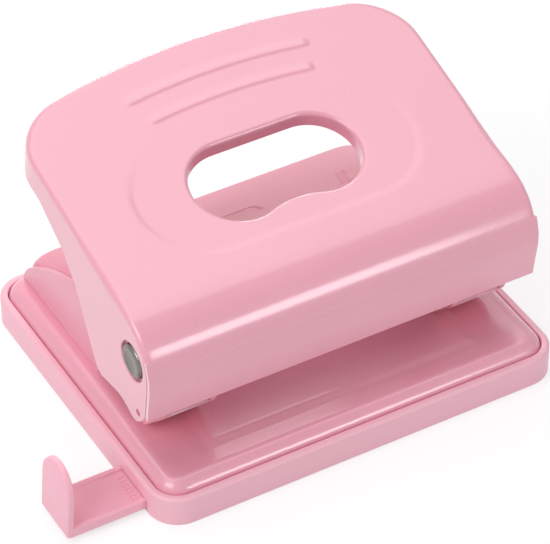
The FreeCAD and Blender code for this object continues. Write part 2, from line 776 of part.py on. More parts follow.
def round_hand_hole(shell):
    """Lever with the upper lip of its hand hole rounded."""
    lip = []
    for edge in shell.Edges:
        points = [edge.valueAt(value) - pivot_axis_point
                  for value in (edge.FirstParameter, edge.LastParameter)]
        level = all(abs(point.dot(off_plate) - lever_rise + dish_depth) < tolerance for point in points)
        inside = all(abs(point.x) < hand_hole_half_width and
                     abs(point.dot(along_plate) - hand_hole_along) < hand_hole_end_radius + tolerance
                     for point in points)
        if level and inside:
            lip.append(edge)
    return shell.makeFillet(hand_hole_lip_radius, lip)


# ================================================================ pivot hardware
def pivot_faces():
    """Distances from the middle of the dimple's floor, its inner face and the ring."""
    head_seat = lever_half_width - dimple_depth
    dimple_inner = head_seat - dimple_wall
    ring_face = inner_plate_x - pivot_ring_gap
    return head_seat, dimple_inner, ring_face


def along_side(side, diameter, x_low, x_high):
    """Cylinder on the pivot axis between two distances from the middle, on one side."""
    ends = sorted((side * x_low, side * x_high))
    return cross_cylinder(diameter, ends[0], ends[1], pivot_y, pivot_height)


def pivot_pin(side):
    """Headed pin through the lever's wall, spacer and frame, with a ring groove inside."""
    head_seat, _, ring_face = pivot_faces()
    head_start = head_seat + pivot_head_gap
    end = ring_face - ring_thickness - pivot_ring_land
    pin = along_side(side, pivot_diameter, end, head_start)
    groove = along_side(side, pivot_diameter + frame_sheet, ring_face - ring_thickness - ring_groove_gap,
                        ring_face + ring_groove_gap / 2)
    core = along_side(side, pivot_diameter - 2 * ring_groove_depth, end, head_start)
    pin = pin.cut(groove).fuse(core)
    crown = pivot_head_height / 2 + pivot_head_diameter ** 2 / (8 * pivot_head_height)
    ball = Part.makeSphere(crown, Vector(side * (head_start + pivot_head_height - crown),
                                         pivot_y, pivot_height))
    head = along_side(side, pivot_head_diameter, head_start, head_start + pivot_head_height)
    return pin.fuse(head.common(ball)).removeSplitter()


def pivot_spacer(side):
    """Plain spacer between the lever's dimple and the frame's outer cheek."""
    dimple_inner = pivot_faces()[1]
    start = cheek_outer_x + spacer_end_gap
    end = dimple_inner - spacer_end_gap
    spacer = along_side(side, spacer_diameter, start, end)
    bore = pivot_diameter + 2 * pivot_running_gap
    return spacer.cut(along_side(side, bore, start - cut_margin, end + cut_margin))


def open_ring(shaft_diameter, centre, axis):
    """Open retaining ring that snaps into a shaft's groove."""
    outer = Part.makeCylinder(ring_diameter / 2, ring_thickness, centre, axis)
    bore_radius = shaft_diameter / 2 - ring_groove_depth + ring_groove_gap / 2
    ring = outer.cut(Part.makeCylinder(bore_radius, ring_thickness, centre, axis))
    mouth = Part.makeBox(2 * bore_radius * math.sqrt(0.5), ring_diameter, ring_thickness)
    mouth.translate(Vector(-bore_radius * math.sqrt(0.5), 0, 0))
    mouth.Placement = FreeCAD.Placement(centre, FreeCAD.Rotation(Vector(0, 0, 1), axis)).multiply(
        mouth.Placement)
    return ring.cut(mouth)


def pivot_ring(side):
    """Retaining ring on the pivot pin, inside the frame."""
    ring_face = pivot_faces()[2]
    start = min(side * ring_face, side * (ring_face - ring_thickness))
    return open_ring(pivot_diameter, Vector(start, pivot_y, pivot_height), across)


# ================================================================ punches
def under_plate_height(y):
    """Height of the underside of the lever's plate at a place along Y."""
    normal = lever_rise - lever_sheet
    along = (y - pivot_y + normal * math.sin(math.radians(lever_slope))) / along_plate.y
    return on_plate(along, normal).z


def punch_heights():
    """Heights of the punch's tip, its crown and the underside of its ring."""
    tip = jaw_bottom + punch_rest_lift
    crown = under_plate_height(punch_y) - punch_press_gap
    return tip, crown, crown - ring_drop


def punch(side):
    """Round punch with a saddle-ground tip, a ring groove and a domed top."""
    tip, crown, ring_under = punch_heights()
    x = side * punch_x
    body = upright_cylinder(punch_diameter, x, punch_y, tip, crown)
    ball = Part.makeSphere(punch_crown_radius, Vector(x, punch_y, crown - punch_crown_radius))
    lower = upright_cylinder(punch_diameter, x, punch_y, tip, crown - punch_crown_radius)
    body = body.common(ball.fuse(lower))
    saddle_drop = math.sqrt(punch_saddle_radius ** 2 - (punch_diameter / 2) ** 2)
    saddle = cross_cylinder(2 * punch_saddle_radius, x - punch_diameter, x + punch_diameter,
                            punch_y, tip - saddle_drop)
    body = body.cut(saddle)
    core = punch_diameter - 2 * ring_groove_depth
    groove = upright_cylinder(punch_diameter + frame_sheet, x, punch_y, ring_under - ring_groove_gap / 2,
                              ring_under + ring_thickness + ring_groove_gap / 2)
    groove = groove.cut(upright_cylinder(core, x, punch_y, tip, crown))
    return body.cut(groove)


def punch_ring(side):
    """Retaining ring that carries the spring's load into the punch."""
    ring_under = punch_heights()[2]
    return open_ring(punch_diameter, Vector(side * punch_x, punch_y, ring_under), Vector(0, 0, 1))


def punch_spring(side):
    """Coil spring between the frame's guide web and the punch's ring."""
    ring_under = punch_heights()[2]
    low = guide_web_top + spring_end_gap + spring_wire / 2
    high = ring_under - spring_end_gap - spring_wire / 2
    radius = (spring_diameter - spring_wire) / 2
    helix = Part.makeHelix((high - low) / spring_turns, high - low, radius)
    section = Part.Wire(Part.makeCircle(spring_wire / 2, Vector(radius, 0, 0), Vector(0, 1, 0)))
    coil = Part.Wire(helix.Edges).makePipeShell([section], True, True)
    coil.translate(Vector(side * punch_x, punch_y, low))
    return coil


# ================================================================ parts
def save(name, shape):
    """Write one sub-part as a STEP file."""
    shape.exportStep(os.path.join("parts", name + ".step"))


def main():
    """Build every sub-part and write it."""
    os.makedirs("parts", exist_ok=True)
    frame_places, hood_places = rivet_places()
    frame_clamp = base_height + frame_sheet
    hood_clamp = base_height + hood_sheet
    save("chip_tray", chip_tray())
    save("paper_guide", paper_guide())
    save("base_plate", base_plate())
    save("rear_hood", rear_hood())
    save("lever", lever())
    save("frame_rivets", Part.makeCompound([rivet(x, y, frame_clamp) for x, y in frame_places]))
    save("hood_rivets", Part.makeCompound([rivet(x, y, hood_clamp) for x, y in hood_places]))
    for name, side in sides.items():
        save(name + "_frame", punch_frame(side))
        save(name + "_die_bush", die_bush(side))
        save(name + "_pivot_pin", pivot_pin(side))
        save(name + "_pivot_spacer", pivot_spacer(side))
        save(name + "_pivot_ring", pivot_ring(side))
        save(name + "_punch", punch(side))
        save(name + "_punch_ring", punch_ring(side))
        save(name + "_punch_spring", punch_spring(side))


main()
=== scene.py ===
"""A pink two-hole desk punch, dressed over its construction frame.

Sizes are in millimetres and angles in degrees; meshes are written in metres in the frame's own axes:
X runs along the lever's pivot, -Y is the side where the paper goes in, +Z is up.
"""

from __future__ import annotations

import logging
from dataclasses import dataclass
from enum import Enum
from typing import Any, Sequence

import bmesh
import bpy
import numpy as np
from mathutils import Matrix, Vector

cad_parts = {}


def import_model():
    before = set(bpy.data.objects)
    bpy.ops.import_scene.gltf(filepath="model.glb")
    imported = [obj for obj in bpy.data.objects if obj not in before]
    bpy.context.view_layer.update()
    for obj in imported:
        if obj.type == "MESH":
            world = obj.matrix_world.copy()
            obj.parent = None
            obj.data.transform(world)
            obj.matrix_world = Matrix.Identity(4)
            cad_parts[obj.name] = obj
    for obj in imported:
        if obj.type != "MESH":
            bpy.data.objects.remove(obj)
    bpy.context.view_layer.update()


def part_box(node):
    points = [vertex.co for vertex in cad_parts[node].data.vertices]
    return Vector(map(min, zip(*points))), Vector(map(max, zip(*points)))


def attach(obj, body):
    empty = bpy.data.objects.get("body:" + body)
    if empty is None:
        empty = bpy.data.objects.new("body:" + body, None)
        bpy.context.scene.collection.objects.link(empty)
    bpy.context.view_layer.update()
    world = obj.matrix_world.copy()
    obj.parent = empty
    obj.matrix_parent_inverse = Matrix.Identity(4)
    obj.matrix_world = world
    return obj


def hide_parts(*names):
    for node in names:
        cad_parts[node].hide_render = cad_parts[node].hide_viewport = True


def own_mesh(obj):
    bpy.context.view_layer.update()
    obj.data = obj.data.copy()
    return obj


LOG = logging.getLogger("paper_punch")
MM = 0.001
MIRROR = np.array([-1.0, 1.0, 1.0])
DARKER, LIGHTER = 0.965, 1.03  # how far a coat's tint drifts over a surface
Array = np.ndarray
Colour = tuple[float, float, float, float]


class Body(str, Enum):
    """The moving bodies that pieces ride on."""

    TRAY = "tray"
    GUIDE = "guide"
    CHASSIS = "chassis"
    LEVER = "hand_lever"
    LEFT_CUTTER = "left_cutter"
    RIGHT_CUTTER = "right_cutter"


class Side(Enum):
    """The two ends of the pivot axis."""

    LEFT = -1
    RIGHT = 1

    @property
    def word(self) -> str:
        """The side's name as node names spell it."""
        return self.name.lower()

    @property
    def cutter(self) -> Body:
        """The body that carries this side's punch."""
        return Body.LEFT_CUTTER if self is Side.LEFT else Body.RIGHT_CUTTER

    def span(self, near: float, far: float) -> list[float]:
        """The ends along X of a stretch on this side, in rising order."""
        return sorted((self.value * near, self.value * far))


class Axis(Enum):
    """Axes that turned pieces lie along."""

    X = 0
    Z = 2


# ------------------------------------------------------------------ measuring and mesh making
def node_box(node: str) -> Array:
    """Lowest and highest corner of a frame node, (2, 3), in millimetres."""
    return np.array(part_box(node)) / MM


def pivot_point(side: Side) -> Array:
    """Point of the pivot axis in the middle plane, from a side's pin in the frame."""
    low, high = node_box(f"{side.word}_pivot_pin")
    return np.array([0.0, (low[1] + high[1]) / 2, (low[2] + high[2]) / 2])


def smooth_step(low: float, high: float, value: Array) -> Array:
    """Rise from 0 at low to 1 at high along the cubic 3t^2 - 2t^3."""
    t = np.clip((value - low) / (high - low), 0.0, 1.0)
    return t * t * (3.0 - 2.0 * t)


def arc_points(centre: Sequence[float], radius: float, start: float, end: float, count: int) -> Array:
    """Points on a circle, (count, 2): centre + radius * (cos angle, sin angle), with angles in degrees."""
    angle = np.radians(np.linspace(start, end, count))
    return np.column_stack([centre[0] + radius * np.cos(angle), centre[1] + radius * np.sin(angle)])


def chain(*parts: Any) -> Array:
    """Join stretches of an outline, leaving out points that repeat.

    Args:
        *parts: arrays of points, or single points.

    Returns:
        One (n, 2) array.
    """
    points = np.vstack([np.atleast_2d(np.asarray(part, float)) for part in parts])
    step = np.linalg.norm(np.diff(points, axis=0), axis=1)
    return points[np.concatenate([[True], step > 1e-6])]


def rectangle(low: Sequence[float], high: Sequence[float]) -> Array:
    """Outline in Y and Z between a low and a high corner, as a (4, 2) array."""
    return np.array([low, (high[0], low[1]), high, (low[0], high[1])], float)


def running_length(curve: Array) -> Array:
    """Length along a polyline up to each of its points."""
    return np.concatenate([[0.0], np.cumsum(np.linalg.norm(np.diff(curve, axis=0), axis=1))])


def resample(curve: Array, fractions: Array) -> Array:
    """Points at fractions of a polyline's length.

    Args:
        curve: the polyline, (n, k).
        fractions: values from 0 to 1 of the running length.

    Returns:
        A (len(fractions), k) array.
    """
    length = running_length(curve)
    where = np.asarray(fractions) * length[-1]
    return np.column_stack([np.interp(where, length, curve[:, k]) for k in range(curve.shape[1])])


def running_fraction(curve: Array) -> Array:
    """Each point's share of a polyline's length, from 0 to 1."""
    length = running_length(curve)
    return length / length[-1]


def quad_faces(index: Array) -> Array:
    """Faces that join neighbours in the rows and columns of a grid of point numbers."""
    return np.stack([index[:-1, :-1], index[1:, :-1], index[1:, 1:], index[:-1, 1:]], axis=-1).reshape(-1, 4)


def add_object(name: str, data: Any) -> bpy.types.Object:
    """Link a new object to the scene.

    Args:
        name: the object's name.
        data: its mesh, lamp or camera.

    Returns:
        The object.
    """
    made = bpy.data.objects.new(name, data)
    bpy.context.scene.collection.objects.link(made)
    return made


class Draft:
    """A mesh in the making, gathered from grids of points."""

    def __init__(self) -> None:
        """Start with no points and no faces."""
        self.points: list[Array] = []
        self.faces: list[Array] = []
        self.count = 0

    def grid(self, points: Array, wrap_rows: bool = False, wrap_columns: bool = False,
             flip: bool = False) -> "Draft":
        """Add a grid; each face joins neighbours in rows and columns.

        Args:
            points: (rows, columns, 3) in millimetres.
            wrap_rows: close the last row on the first.
            wrap_columns: close the last column on the first.
            flip: turn the faces over.

        Returns:
            The draft itself.
        """
        rows, columns = points.shape[:2]
        index = self.count + np.arange(rows * columns).reshape(rows, columns)
        if wrap_rows:
            index = np.vstack([index, index[:1]])
        if wrap_columns:
            index = np.hstack([index, index[:, :1]])
        quads = quad_faces(index)
        self.faces.append(quads[:, ::-1] if flip else quads)
        self.points.append(points.reshape(-1, 3))
        self.count += rows * columns
        return self

    def both_sides(self, points: Array, flip: bool = False) -> "Draft":
        """Add a grid on the right-hand side, with flip as for a grid, and its mirror image across X = 0."""
        self.grid(points, flip=flip)
        return self.grid(points * MIRROR, flip=not flip)

    def build(self, name: str, merge: float = 0.002) -> bpy.types.Object:
        """Make the mesh object, with points that meet merged into one.

        Args:
            name: the object's name.
            merge: distance under which points merge, in millimetres.

        Returns:
            The new object, linked to the scene.
        """
        mesh = bpy.data.meshes.new(name)
        mesh.from_pydata((np.vstack(self.points) * MM).tolist(), [], np.vstack(self.faces).tolist())
        tidy = bmesh.new()
        tidy.from_mesh(mesh)
        bmesh.ops.remove_doubles(tidy, verts=tidy.verts, dist=merge * MM)
        bmesh.ops.dissolve_degenerate(tidy, edges=tidy.edges, dist=merge * MM / 4)
        tidy.to_mesh(mesh)
        tidy.free()
        return add_object(name, mesh)


def turn_outwards(piece: bpy.types.Object) -> None:
    """Turn a closed mesh's faces outwards.

    Args:
        piece: a closed mesh object with no thickness still to come.
    """
    tidy = bmesh.new()
    tidy.from_mesh(piece.data)
    bmesh.ops.recalc_face_normals(tidy, faces=tidy.faces)
    tidy.to_mesh(piece.data)
    tidy.free()


def bake_modifiers(piece: bpy.types.Object) -> None:
    """Give a piece the mesh that its modifiers make, and drop the modifiers.

    Args:
        piece: the object to settle.
    """
    graph = bpy.context.evaluated_depsgraph_get()
    settled = bpy.data.meshes.new_from_object(piece.evaluated_get(graph))
    piece.modifiers.clear()
    piece.data = settled


def thicken(piece: bpy.types.Object, sheet: float, rim_slot: int = 0) -> None:
    """Turn a skin into a sheet that grows away from its face side.

    Args:
        piece: the skin.
        sheet: the thickness in millimetres.
        rim_slot: how many material slots further the cut rim's faces lie.
    """
    wall = piece.modifiers.new("sheet", "SOLIDIFY")
    wall.thickness = sheet * MM
    wall.offset = -1.0
    wall.use_even_offset = True
    wall.use_quality_normals = True
    wall.material_offset_rim = rim_slot
    bake_modifiers(piece)


def soften(piece: bpy.types.Object, width: float, angle: float = 50.0, segments: int = 2) -> None:
    """Round the sharp edges of a piece.

    Args:
        piece: the object.
        width: the rounding's width in millimetres.
        angle: edges sharper than this many degrees are rounded.
        segments: how many faces the rounding has.
    """
    bevel = piece.modifiers.new("soft_edges", "BEVEL")
    bevel.width = width * MM
    bevel.segments = segments
    bevel.limit_method = "ANGLE"
    bevel.angle_limit = np.radians(angle)
    bevel.use_clamp_overlap = True
    bevel.harden_normals = False
    bake_modifiers(piece)


def combine(piece: bpy.types.Object, others: Sequence[bpy.types.Object], operation: str) -> None:
    """Work closed solids into a closed piece, and remove them.

    Args:
        piece: the object that is kept.
        others: closed objects, in order.
        operation: the boolean's name.
    """
    for other in others:
        step = piece.modifiers.new("solids", "BOOLEAN")
        step.operation = operation
        step.solver = "EXACT"
        step.object = other
    bake_modifiers(piece)
    for other in others:
        bpy.data.objects.remove(other, do_unlink=True)


def carve(piece: bpy.types.Object, cutters: Sequence[bpy.types.Object]) -> None:
    """Cut closed solids out of a closed piece."""
    combine(piece, cutters, "DIFFERENCE")


def unite(pieces: Sequence[bpy.types.Object]) -> bpy.types.Object:
    """Fuse closed solids into the first one, and hand that one over."""
    combine(pieces[0], pieces[1:], "UNION")
    return pieces[0]


def shade(piece: bpy.types.Object, angle: float = 32.0) -> None:
    """Shade a piece smooth, with edges past an angle in degrees kept crisp."""
    piece.data.shade_smooth()
    piece.data.set_sharp_from_angle(angle=np.radians(angle))


def lathe(profile: Array, centre: Sequence[float], axis: Axis, turns: int = 64) -> Array:
    """Grid of a profile turned round an axis: radius * (cos, sin) across it and height along it.

    Args:
        profile: (n, 2) of radius and height.
        centre: the point on the axis at height 0.
        axis: the axis that the profile turns round.
        turns: how many steps round.

    Returns:
        A (n, turns, 3) grid.
    """
    angle = np.linspace(0.0, 2.0 * np.pi, turns, endpoint=False)
    radius, height = profile[:, :1], profile[:, 1:]
    across = radius * np.cos(angle), radius * np.sin(angle)
    along = np.broadcast_to(height, across[0].shape)
    if axis is Axis.Z:
        parts = (across[0], across[1], along)
    else:
        parts = (along, across[0], across[1])
    return np.stack(parts, axis=-1) + np.asarray(centre, float)


def pin_cutter(name: str, radius: float, centre: Sequence[float], axis: Axis, ends: Sequence[float],
               turns: int = 48, outwards: bool = True) -> bpy.types.Object:
    """Closed round bar for cutting: radius * (cos, sin) between its two ends.

    Args:
        name: the object's name.
        radius: its radius.
        centre: the point on its axis at height 0.
        axis: the axis that it lies along.
        ends: its lower and upper end along that axis.
        turns: how many sides it has.
        outwards: whether its faces point out; a bar that faces in only scores its outline.

    Returns:
        The bar.
    """
    profile = rectangle((0.0, ends[0]), (radius, ends[1]))
    return Draft().grid(lathe(profile, centre, axis, turns), wrap_columns=True, flip=outwards).build(name)


def carried(outline: Array, places: Sequence[float]) -> Array:
    """Grid of an outline in Y and Z carried to places along X, (places, points, 3)."""
    return np.stack([np.column_stack([np.full(len(outline), x), outline]) for x in places])


def frame_loop(half_x: float, half_y: float, radius: float, height: float, counts: Sequence[int]) -> Array:
    """Rounded rectangle with the same number of points whatever its size.

    The straight stretches run between the corner arcs, and each corner is radius * (cos, sin) about its
    centre, so loops of different size line up point by point.

    Args:
        half_x: half its length along X.
        half_y: half its length along Y.
        radius: its corner radius; it is held at 0 or more.
        height: its Z.
        counts: points on a stretch along X, along Y, and in a corner.

    Returns:
        A (n, 3) loop that runs anticlockwise seen from above.
    """
    radius = max(radius, 0.0)
    along_x, along_y, corner = counts
    parts = []
    turns = ((1, -1, -90.0, along_y), (1, 1, 0.0, along_x),
             (-1, 1, 90.0, along_y), (-1, -1, 180.0, along_x))
    centres = [np.array([sx * (half_x - radius), sy * (half_y - radius)]) for sx, sy, _, _ in turns]
    for index, (_, _, start, stretch) in enumerate(turns):
        bend = arc_points(centres[index], radius, start, start + 90.0, corner)
        following = turns[(index + 1) % 4]
        onward = arc_points(centres[(index + 1) % 4], radius, following[2], following[2], 1)
        share = np.linspace(0.0, 1.0, stretch + 2)[1:-1, None]
        parts += [bend, bend[-1] + share * (onward - bend[-1])]
    loop = np.vstack(parts)
    return np.column_stack([loop, np.full(len(loop), height)])


# ------------------------------------------------------------------ shader writing
class Recipe:
    """A material's node tree, with one way to add any node."""

    def __init__(self, name: str, tree: bpy.types.NodeTree | None = None) -> None:
        """Start an empty node tree.

        Args:
            name: the material's name.
            tree: a tree to write instead of a new material's.
        """
        self.material = None
        if tree is None:
            self.material = bpy.data.materials.new(name)
            self.material.use_nodes = True
            tree = self.material.node_tree
        self.tree = tree
        self.tree.nodes.clear()

    def node(self, kind: str, settings: dict[str, Any] | None = None,
             inputs: dict[Any, Any] | None = None) -> bpy.types.Node:
        """Add a node, set its settings first, then fill its sockets.

        Args:
            kind: the node's type.
            settings: its properties; "stops" gives a ramp's (position, colour) pairs.
            inputs: socket names or numbers, with numbers, tuples, sockets or values to link.

        Returns:
            The node.
        """
        made = self.tree.nodes.new(kind)
        for key, value in (settings or {}).items():
            if key == "stops":
                self._stops(made, value)
            else:
                setattr(made, key, value)
        for key, value in (inputs or {}).items():
            socket = value.socket if isinstance(value, Level) else value
            if isinstance(socket, bpy.types.NodeSocket):
                self.tree.links.new(socket, made.inputs[key])
            else:
                made.inputs[key].default_value = socket
        return made

    @staticmethod
    def _stops(ramp: bpy.types.Node, stops: Sequence[tuple[float, Sequence[float]]]) -> None:
        """Set a ramp's stops.

        Args:
            ramp: the ramp node.
            stops: its (position, colour) pairs.
        """
        elements = ramp.color_ramp.elements
        while len(elements) < len(stops):
            elements.new(1.0)
        for element, (position, colour) in zip(elements, stops):
            element.position = position
            element.color = colour

    def level(self, node: bpy.types.Node, output: Any = 0) -> "Level":
        """Wrap a node's output as a value that expressions can use."""
        return Level(self, node.outputs[output])

    def noise(self, scale: float, detail: float = 3.0, stretch: Sequence[float] = (1, 1, 1)) -> "Level":
        """Noise on Object coordinates.

        Args:
            scale: cells to a metre.
            detail: octaves.
            stretch: factors along X, Y and Z.

        Returns:
            The noise's value, about 0.5.
        """
        place = self.node("ShaderNodeTexCoord").outputs["Object"]
        mapped = self.node("ShaderNodeMapping", inputs={"Vector": place, "Scale": tuple(stretch)})
        noise = self.node("ShaderNodeTexNoise",
                          inputs={"Vector": mapped.outputs[0], "Scale": scale, "Detail": detail})
        return self.level(noise, "Fac")

    def specks(self, scale: float, size: float) -> "Level":
        """Small round specks, one to a cell at most.

        Args:
            scale: cells to a metre.
            size: the speck's radius as a share of its cell.

        Returns:
            1 in a speck and 0 elsewhere.
        """
        place = self.node("ShaderNodeTexCoord").outputs["Object"]
        cells = self.node("ShaderNodeTexVoronoi", {"feature": "F1"}, {"Vector": place, "Scale": scale})
        return self.level(cells, "Distance").below(size, size * 0.35)

    def blend(self, factor: Any, first: Any, second: Any) -> bpy.types.NodeSocket:
        """Mix two colours.

        Args:
            factor: a value from 0 for the first to 1 for the second.
            first: a colour or a socket.
            second: a colour or a socket.

        Returns:
            The mixed colour's socket.
        """
        mix = self.node("ShaderNodeMix", {"data_type": "RGBA", "clamp_factor": True},
                        {0: factor, 6: first, 7: second})
        return mix.outputs[2]

    def relief(self, height: "Level", depth: float, normal: Any = None) -> bpy.types.NodeSocket:
        """Bump that feeds Normal.

        Args:
            height: the relief, 0 to 1.
            depth: its depth in millimetres.
            normal: a bump that this one adds to.

        Returns:
            The normal's socket.
        """
        inputs = {"Height": height, "Distance": depth * MM, "Strength": 1.0}
        if normal is not None:
            inputs["Normal"] = normal
        return self.node("ShaderNodeBump", inputs=inputs).outputs[0]

    def backdrop_rays(self) -> "Level":
        """Over 0 for rays of the eye, of reflections and of glass, and 0 for all other rays."""
        path = self.node("ShaderNodeLightPath")
        seen = self.level(path, "Is Camera Ray") + self.level(path, "Is Glossy Ray")
        return seen + self.level(path, "Is Transmission Ray")

    def finish(self, shader: bpy.types.Node) -> bpy.types.Material:
        """Link the last shader to the output and hand over the material."""
        self.node("ShaderNodeOutputMaterial", inputs={"Surface": shader.outputs[0]})
        return self.material


class Level:
    """A value in a recipe; arithmetic on it adds Math nodes."""

    def __init__(self, recipe: Recipe, socket: bpy.types.NodeSocket) -> None:
        """Wrap an output socket of a recipe."""
        self.recipe = recipe
        self.socket = socket

    def _math(self, operation: str, *values: Any) -> "Level":
        """Add a Math node over this value's recipe."""
        node = self.recipe.node("ShaderNodeMath", {"operation": operation}, dict(enumerate(values)))
        return Level(self.recipe, node.outputs[0])

    def __add__(self, other: Any) -> "Level":
        """Sum."""
        return self._math("ADD", self, other)

    def __radd__(self, other: Any) -> "Level":
        """Sum with a number first."""
        return self._math("ADD", other, self)

    def __sub__(self, other: Any) -> "Level":
        """Difference."""
        return self._math("SUBTRACT", self, other)

    def __mul__(self, other: Any) -> "Level":
        """Product."""
        return self._math("MULTIPLY", self, other)

    def below(self, limit: float, softness: float) -> "Level":
        """Step down from 1 to 0.

        Args:
            limit: where the value has fallen to 0.
            softness: how far before the limit it starts to fall.

        Returns:
            The step.
        """
        ranged = self.recipe.node("ShaderNodeMapRange", {"interpolation_type": "SMOOTHSTEP"},
                                  {"Value": self, "From Min": limit - softness, "From Max": limit,
                                   "To Min": 1.0, "To Max": 0.0})
        return Level(self.recipe, ranged.outputs[0])


def linear(red: int, green: int, blue: int) -> Colour:
    """Screen colour of 0 to 255 as a linear colour.

    Args:
        red: red share.
        green: green share.
        blue: blue share.

    Returns:
        Linear red, green, blue and 1.
    """
    share = np.array([red, green, blue]) / 255.0
    value = np.where(share <= 0.04045, share / 12.92, ((share + 0.055) / 1.055) ** 2.4)
    return (float(value[0]), float(value[1]), float(value[2]), 1.0)


def tinted(colour: Colour, factor: float) -> Colour:
    """A colour made lighter or darker by a factor, held under white."""
    return (*(min(1.0, float(part) * factor) for part in colour[:3]), 1.0)


@dataclass(frozen=True)
class Enamel:
    """Glossy sprayed enamel on pressed sheet: a coloured coat with fine orange peel and dust specks."""

    name: str
    colour: Colour = linear(243, 168, 187)
    roughness: float = 0.4
    coat: float = 1.0
    coat_roughness: float = 0.15
    peel_depth: float = 0.012
    peel_cells: float = 520.0
    cloud_cells: float = 38.0
    grain_cells: float = 900.0
    speck_cells: float = 150.0
    speck_size: float = 0.05

    def material(self) -> bpy.types.Material:
        """Write the enamel's nodes.

        Returns:
            The material.
        """
        recipe = Recipe(self.name)
        cloud = recipe.noise(self.cloud_cells, 2.0)
        grain = recipe.noise(self.grain_cells, 2.0)
        specks = recipe.specks(self.speck_cells, self.speck_size)
        body = recipe.blend(cloud, tinted(self.colour, DARKER), tinted(self.colour, LIGHTER))
        mottled = recipe.blend(grain * 0.12, body, tinted(self.colour, 0.86))
        colour = recipe.blend(specks * 0.22, mottled, tinted(self.colour, 0.5))
        peel = recipe.noise(self.peel_cells, 1.5)
        normal = recipe.relief(peel, self.peel_depth)
        shader = recipe.node("ShaderNodeBsdfPrincipled", inputs={
            "Base Color": colour,
            "Roughness": self.roughness + (grain - 0.5) * 0.12 + specks * 0.2,
            "Normal": normal,
            "Coat Weight": self.coat,
            "Coat Roughness": self.coat_roughness,
            "Specular IOR Level": 0.5})
        return recipe.finish(shader)


@dataclass(frozen=True)
class MouldedPlastic:
    """Satin moulded plastic with a faint spark-eroded grain and soft flow shading."""

    name: str
    colour: Colour
    roughness: float = 0.42
    flow_cells: float = 22.0
    scuff_cells: float = 160.0
    grain_cells: float = 2600.0
    grain_depth: float = 0.006

    def material(self) -> bpy.types.Material:
        """Write the plastic's nodes.

        Returns:
            The material.
        """
        recipe = Recipe(self.name)
        flow = recipe.noise(self.flow_cells, 2.0, (1.0, 1.0, 2.5))
        grain = recipe.noise(self.grain_cells, 2.0)
        scuffs = recipe.noise(self.scuff_cells, 4.0, (0.25, 1.0, 1.0))
        body = recipe.blend(flow, tinted(self.colour, DARKER), tinted(self.colour, LIGHTER))
        colour = recipe.blend(grain * 0.06, body, tinted(self.colour, 0.8))
        shader = recipe.node("ShaderNodeBsdfPrincipled", inputs={
            "Base Color": colour,
            "Roughness": self.roughness + (scuffs - 0.5) * 0.16,
            "Normal": recipe.relief(grain, self.grain_depth),
            "Specular IOR Level": 0.45})
        return recipe.finish(shader)


@dataclass(frozen=True)
class BareSteel:
    """Bare or plated steel, with fine turning or grinding marks and faint tarnish."""

    name: str
    colour: Colour
    roughness: float
    stretch: tuple[float, float, float] = (1.0, 1.0, 1.0)
    mark_cells: float = 900.0
    mark_depth: float = 0.004
    tarnish_cells: float = 210.0

    def material(self) -> bpy.types.Material:
        """Write the steel's nodes.

        Returns:
            The material.
        """
        recipe = Recipe(self.name)
        marks = recipe.noise(self.mark_cells, 3.0, self.stretch)
        tarnish = recipe.noise(self.tarnish_cells, 3.0)
        colour = recipe.blend(tarnish, tinted(self.colour, 0.82), tinted(self.colour, 1.12))
        shader = recipe.node("ShaderNodeBsdfPrincipled", inputs={
            "Base Color": colour,
            "Metallic": 1.0,
            "Roughness": self.roughness + (marks - 0.5) * 0.18,
            "Normal": recipe.relief(marks, self.mark_depth)})
        return recipe.finish(shader)


@dataclass(frozen=True)
class PaleSweep:
    """The studio floor: pale to the eye and to reflections, and it keeps the shadow."""

    name: str = "pale_sweep"
    albedo: float = 0.9
    glow: float = 0.66
    shadow_share: float = 0.4

    def material(self) -> bpy.types.Material:
        """Write the floor's nodes.

        Returns:
            The material.
        """
        recipe = Recipe(self.name)
        grain = recipe.noise(14.0, 3.0)
        paper = recipe.blend(grain, (self.albedo * 0.98,) * 3 + (1.0,), (self.albedo,) * 3 + (1.0,))
        plain = recipe.node("ShaderNodeBsdfDiffuse", inputs={"Color": paper})
        faint = recipe.node("ShaderNodeBsdfDiffuse", inputs={"Color": (self.shadow_share,) * 3 + (1.0,)})
        glow = recipe.node("ShaderNodeEmission", inputs={"Strength": self.glow})
        shown = recipe.node("ShaderNodeAddShader", inputs={0: faint.outputs[0], 1: glow.outputs[0]})
        return recipe.finish(recipe.node("ShaderNodeMixShader", inputs={
            0: recipe.backdrop_rays(), 1: plain.outputs[0], 2: shown.outputs[0]}))


@dataclass(frozen=True)
class Finishes:
    """Every finish of the punch, made once."""

    enamel: bpy.types.Material
    dull: bpy.types.Material
    satin: bpy.types.Material
    cut_edge: bpy.types.Material
    tray: bpy.types.Material
    guide: bpy.types.Material
    plated: bpy.types.Material
    ground: bpy.types.Material
    spring: bpy.types.Material

    @classmethod
    def mix(cls) -> "Finishes":
        """Write all the materials.

        Returns:
            The set of finishes.
        """
        return cls(
            enamel=Enamel("pink_enamel").material(),
            dull=Enamel("dull_enamel", roughness=0.5, coat=0.3).material(),
            # painted shade: this copy of the enamel is darker and deeper pink to stand in for the shade under
            # the lever on the hood; its lower gloss is the hood's own finish
            satin=Enamel("satin_enamel", linear(238, 152, 172), 0.5, 0.2).material(),
            # painted highlight: a lighter, glossier copy of the enamel on the sheets' cut rims stands in for
            # the bright highlights along their edges
            cut_edge=Enamel("enamel_painted_edge_highlight", linear(248, 196, 209), 0.3).material(),
            tray=MouldedPlastic("tray_plastic", linear(255, 195, 210)).material(),
            guide=MouldedPlastic("guide_plastic", linear(255, 188, 205)).material(),
            plated=BareSteel("plated_steel", linear(130, 126, 119), 0.27, (1.0, 1.0, 6.0)).material(),
            ground=BareSteel("ground_steel", linear(178, 178, 180), 0.24, (1.0, 1.0, 7.0), 1200.0).material(),
            spring=BareSteel("spring_steel", linear(200, 200, 203), 0.2).material())


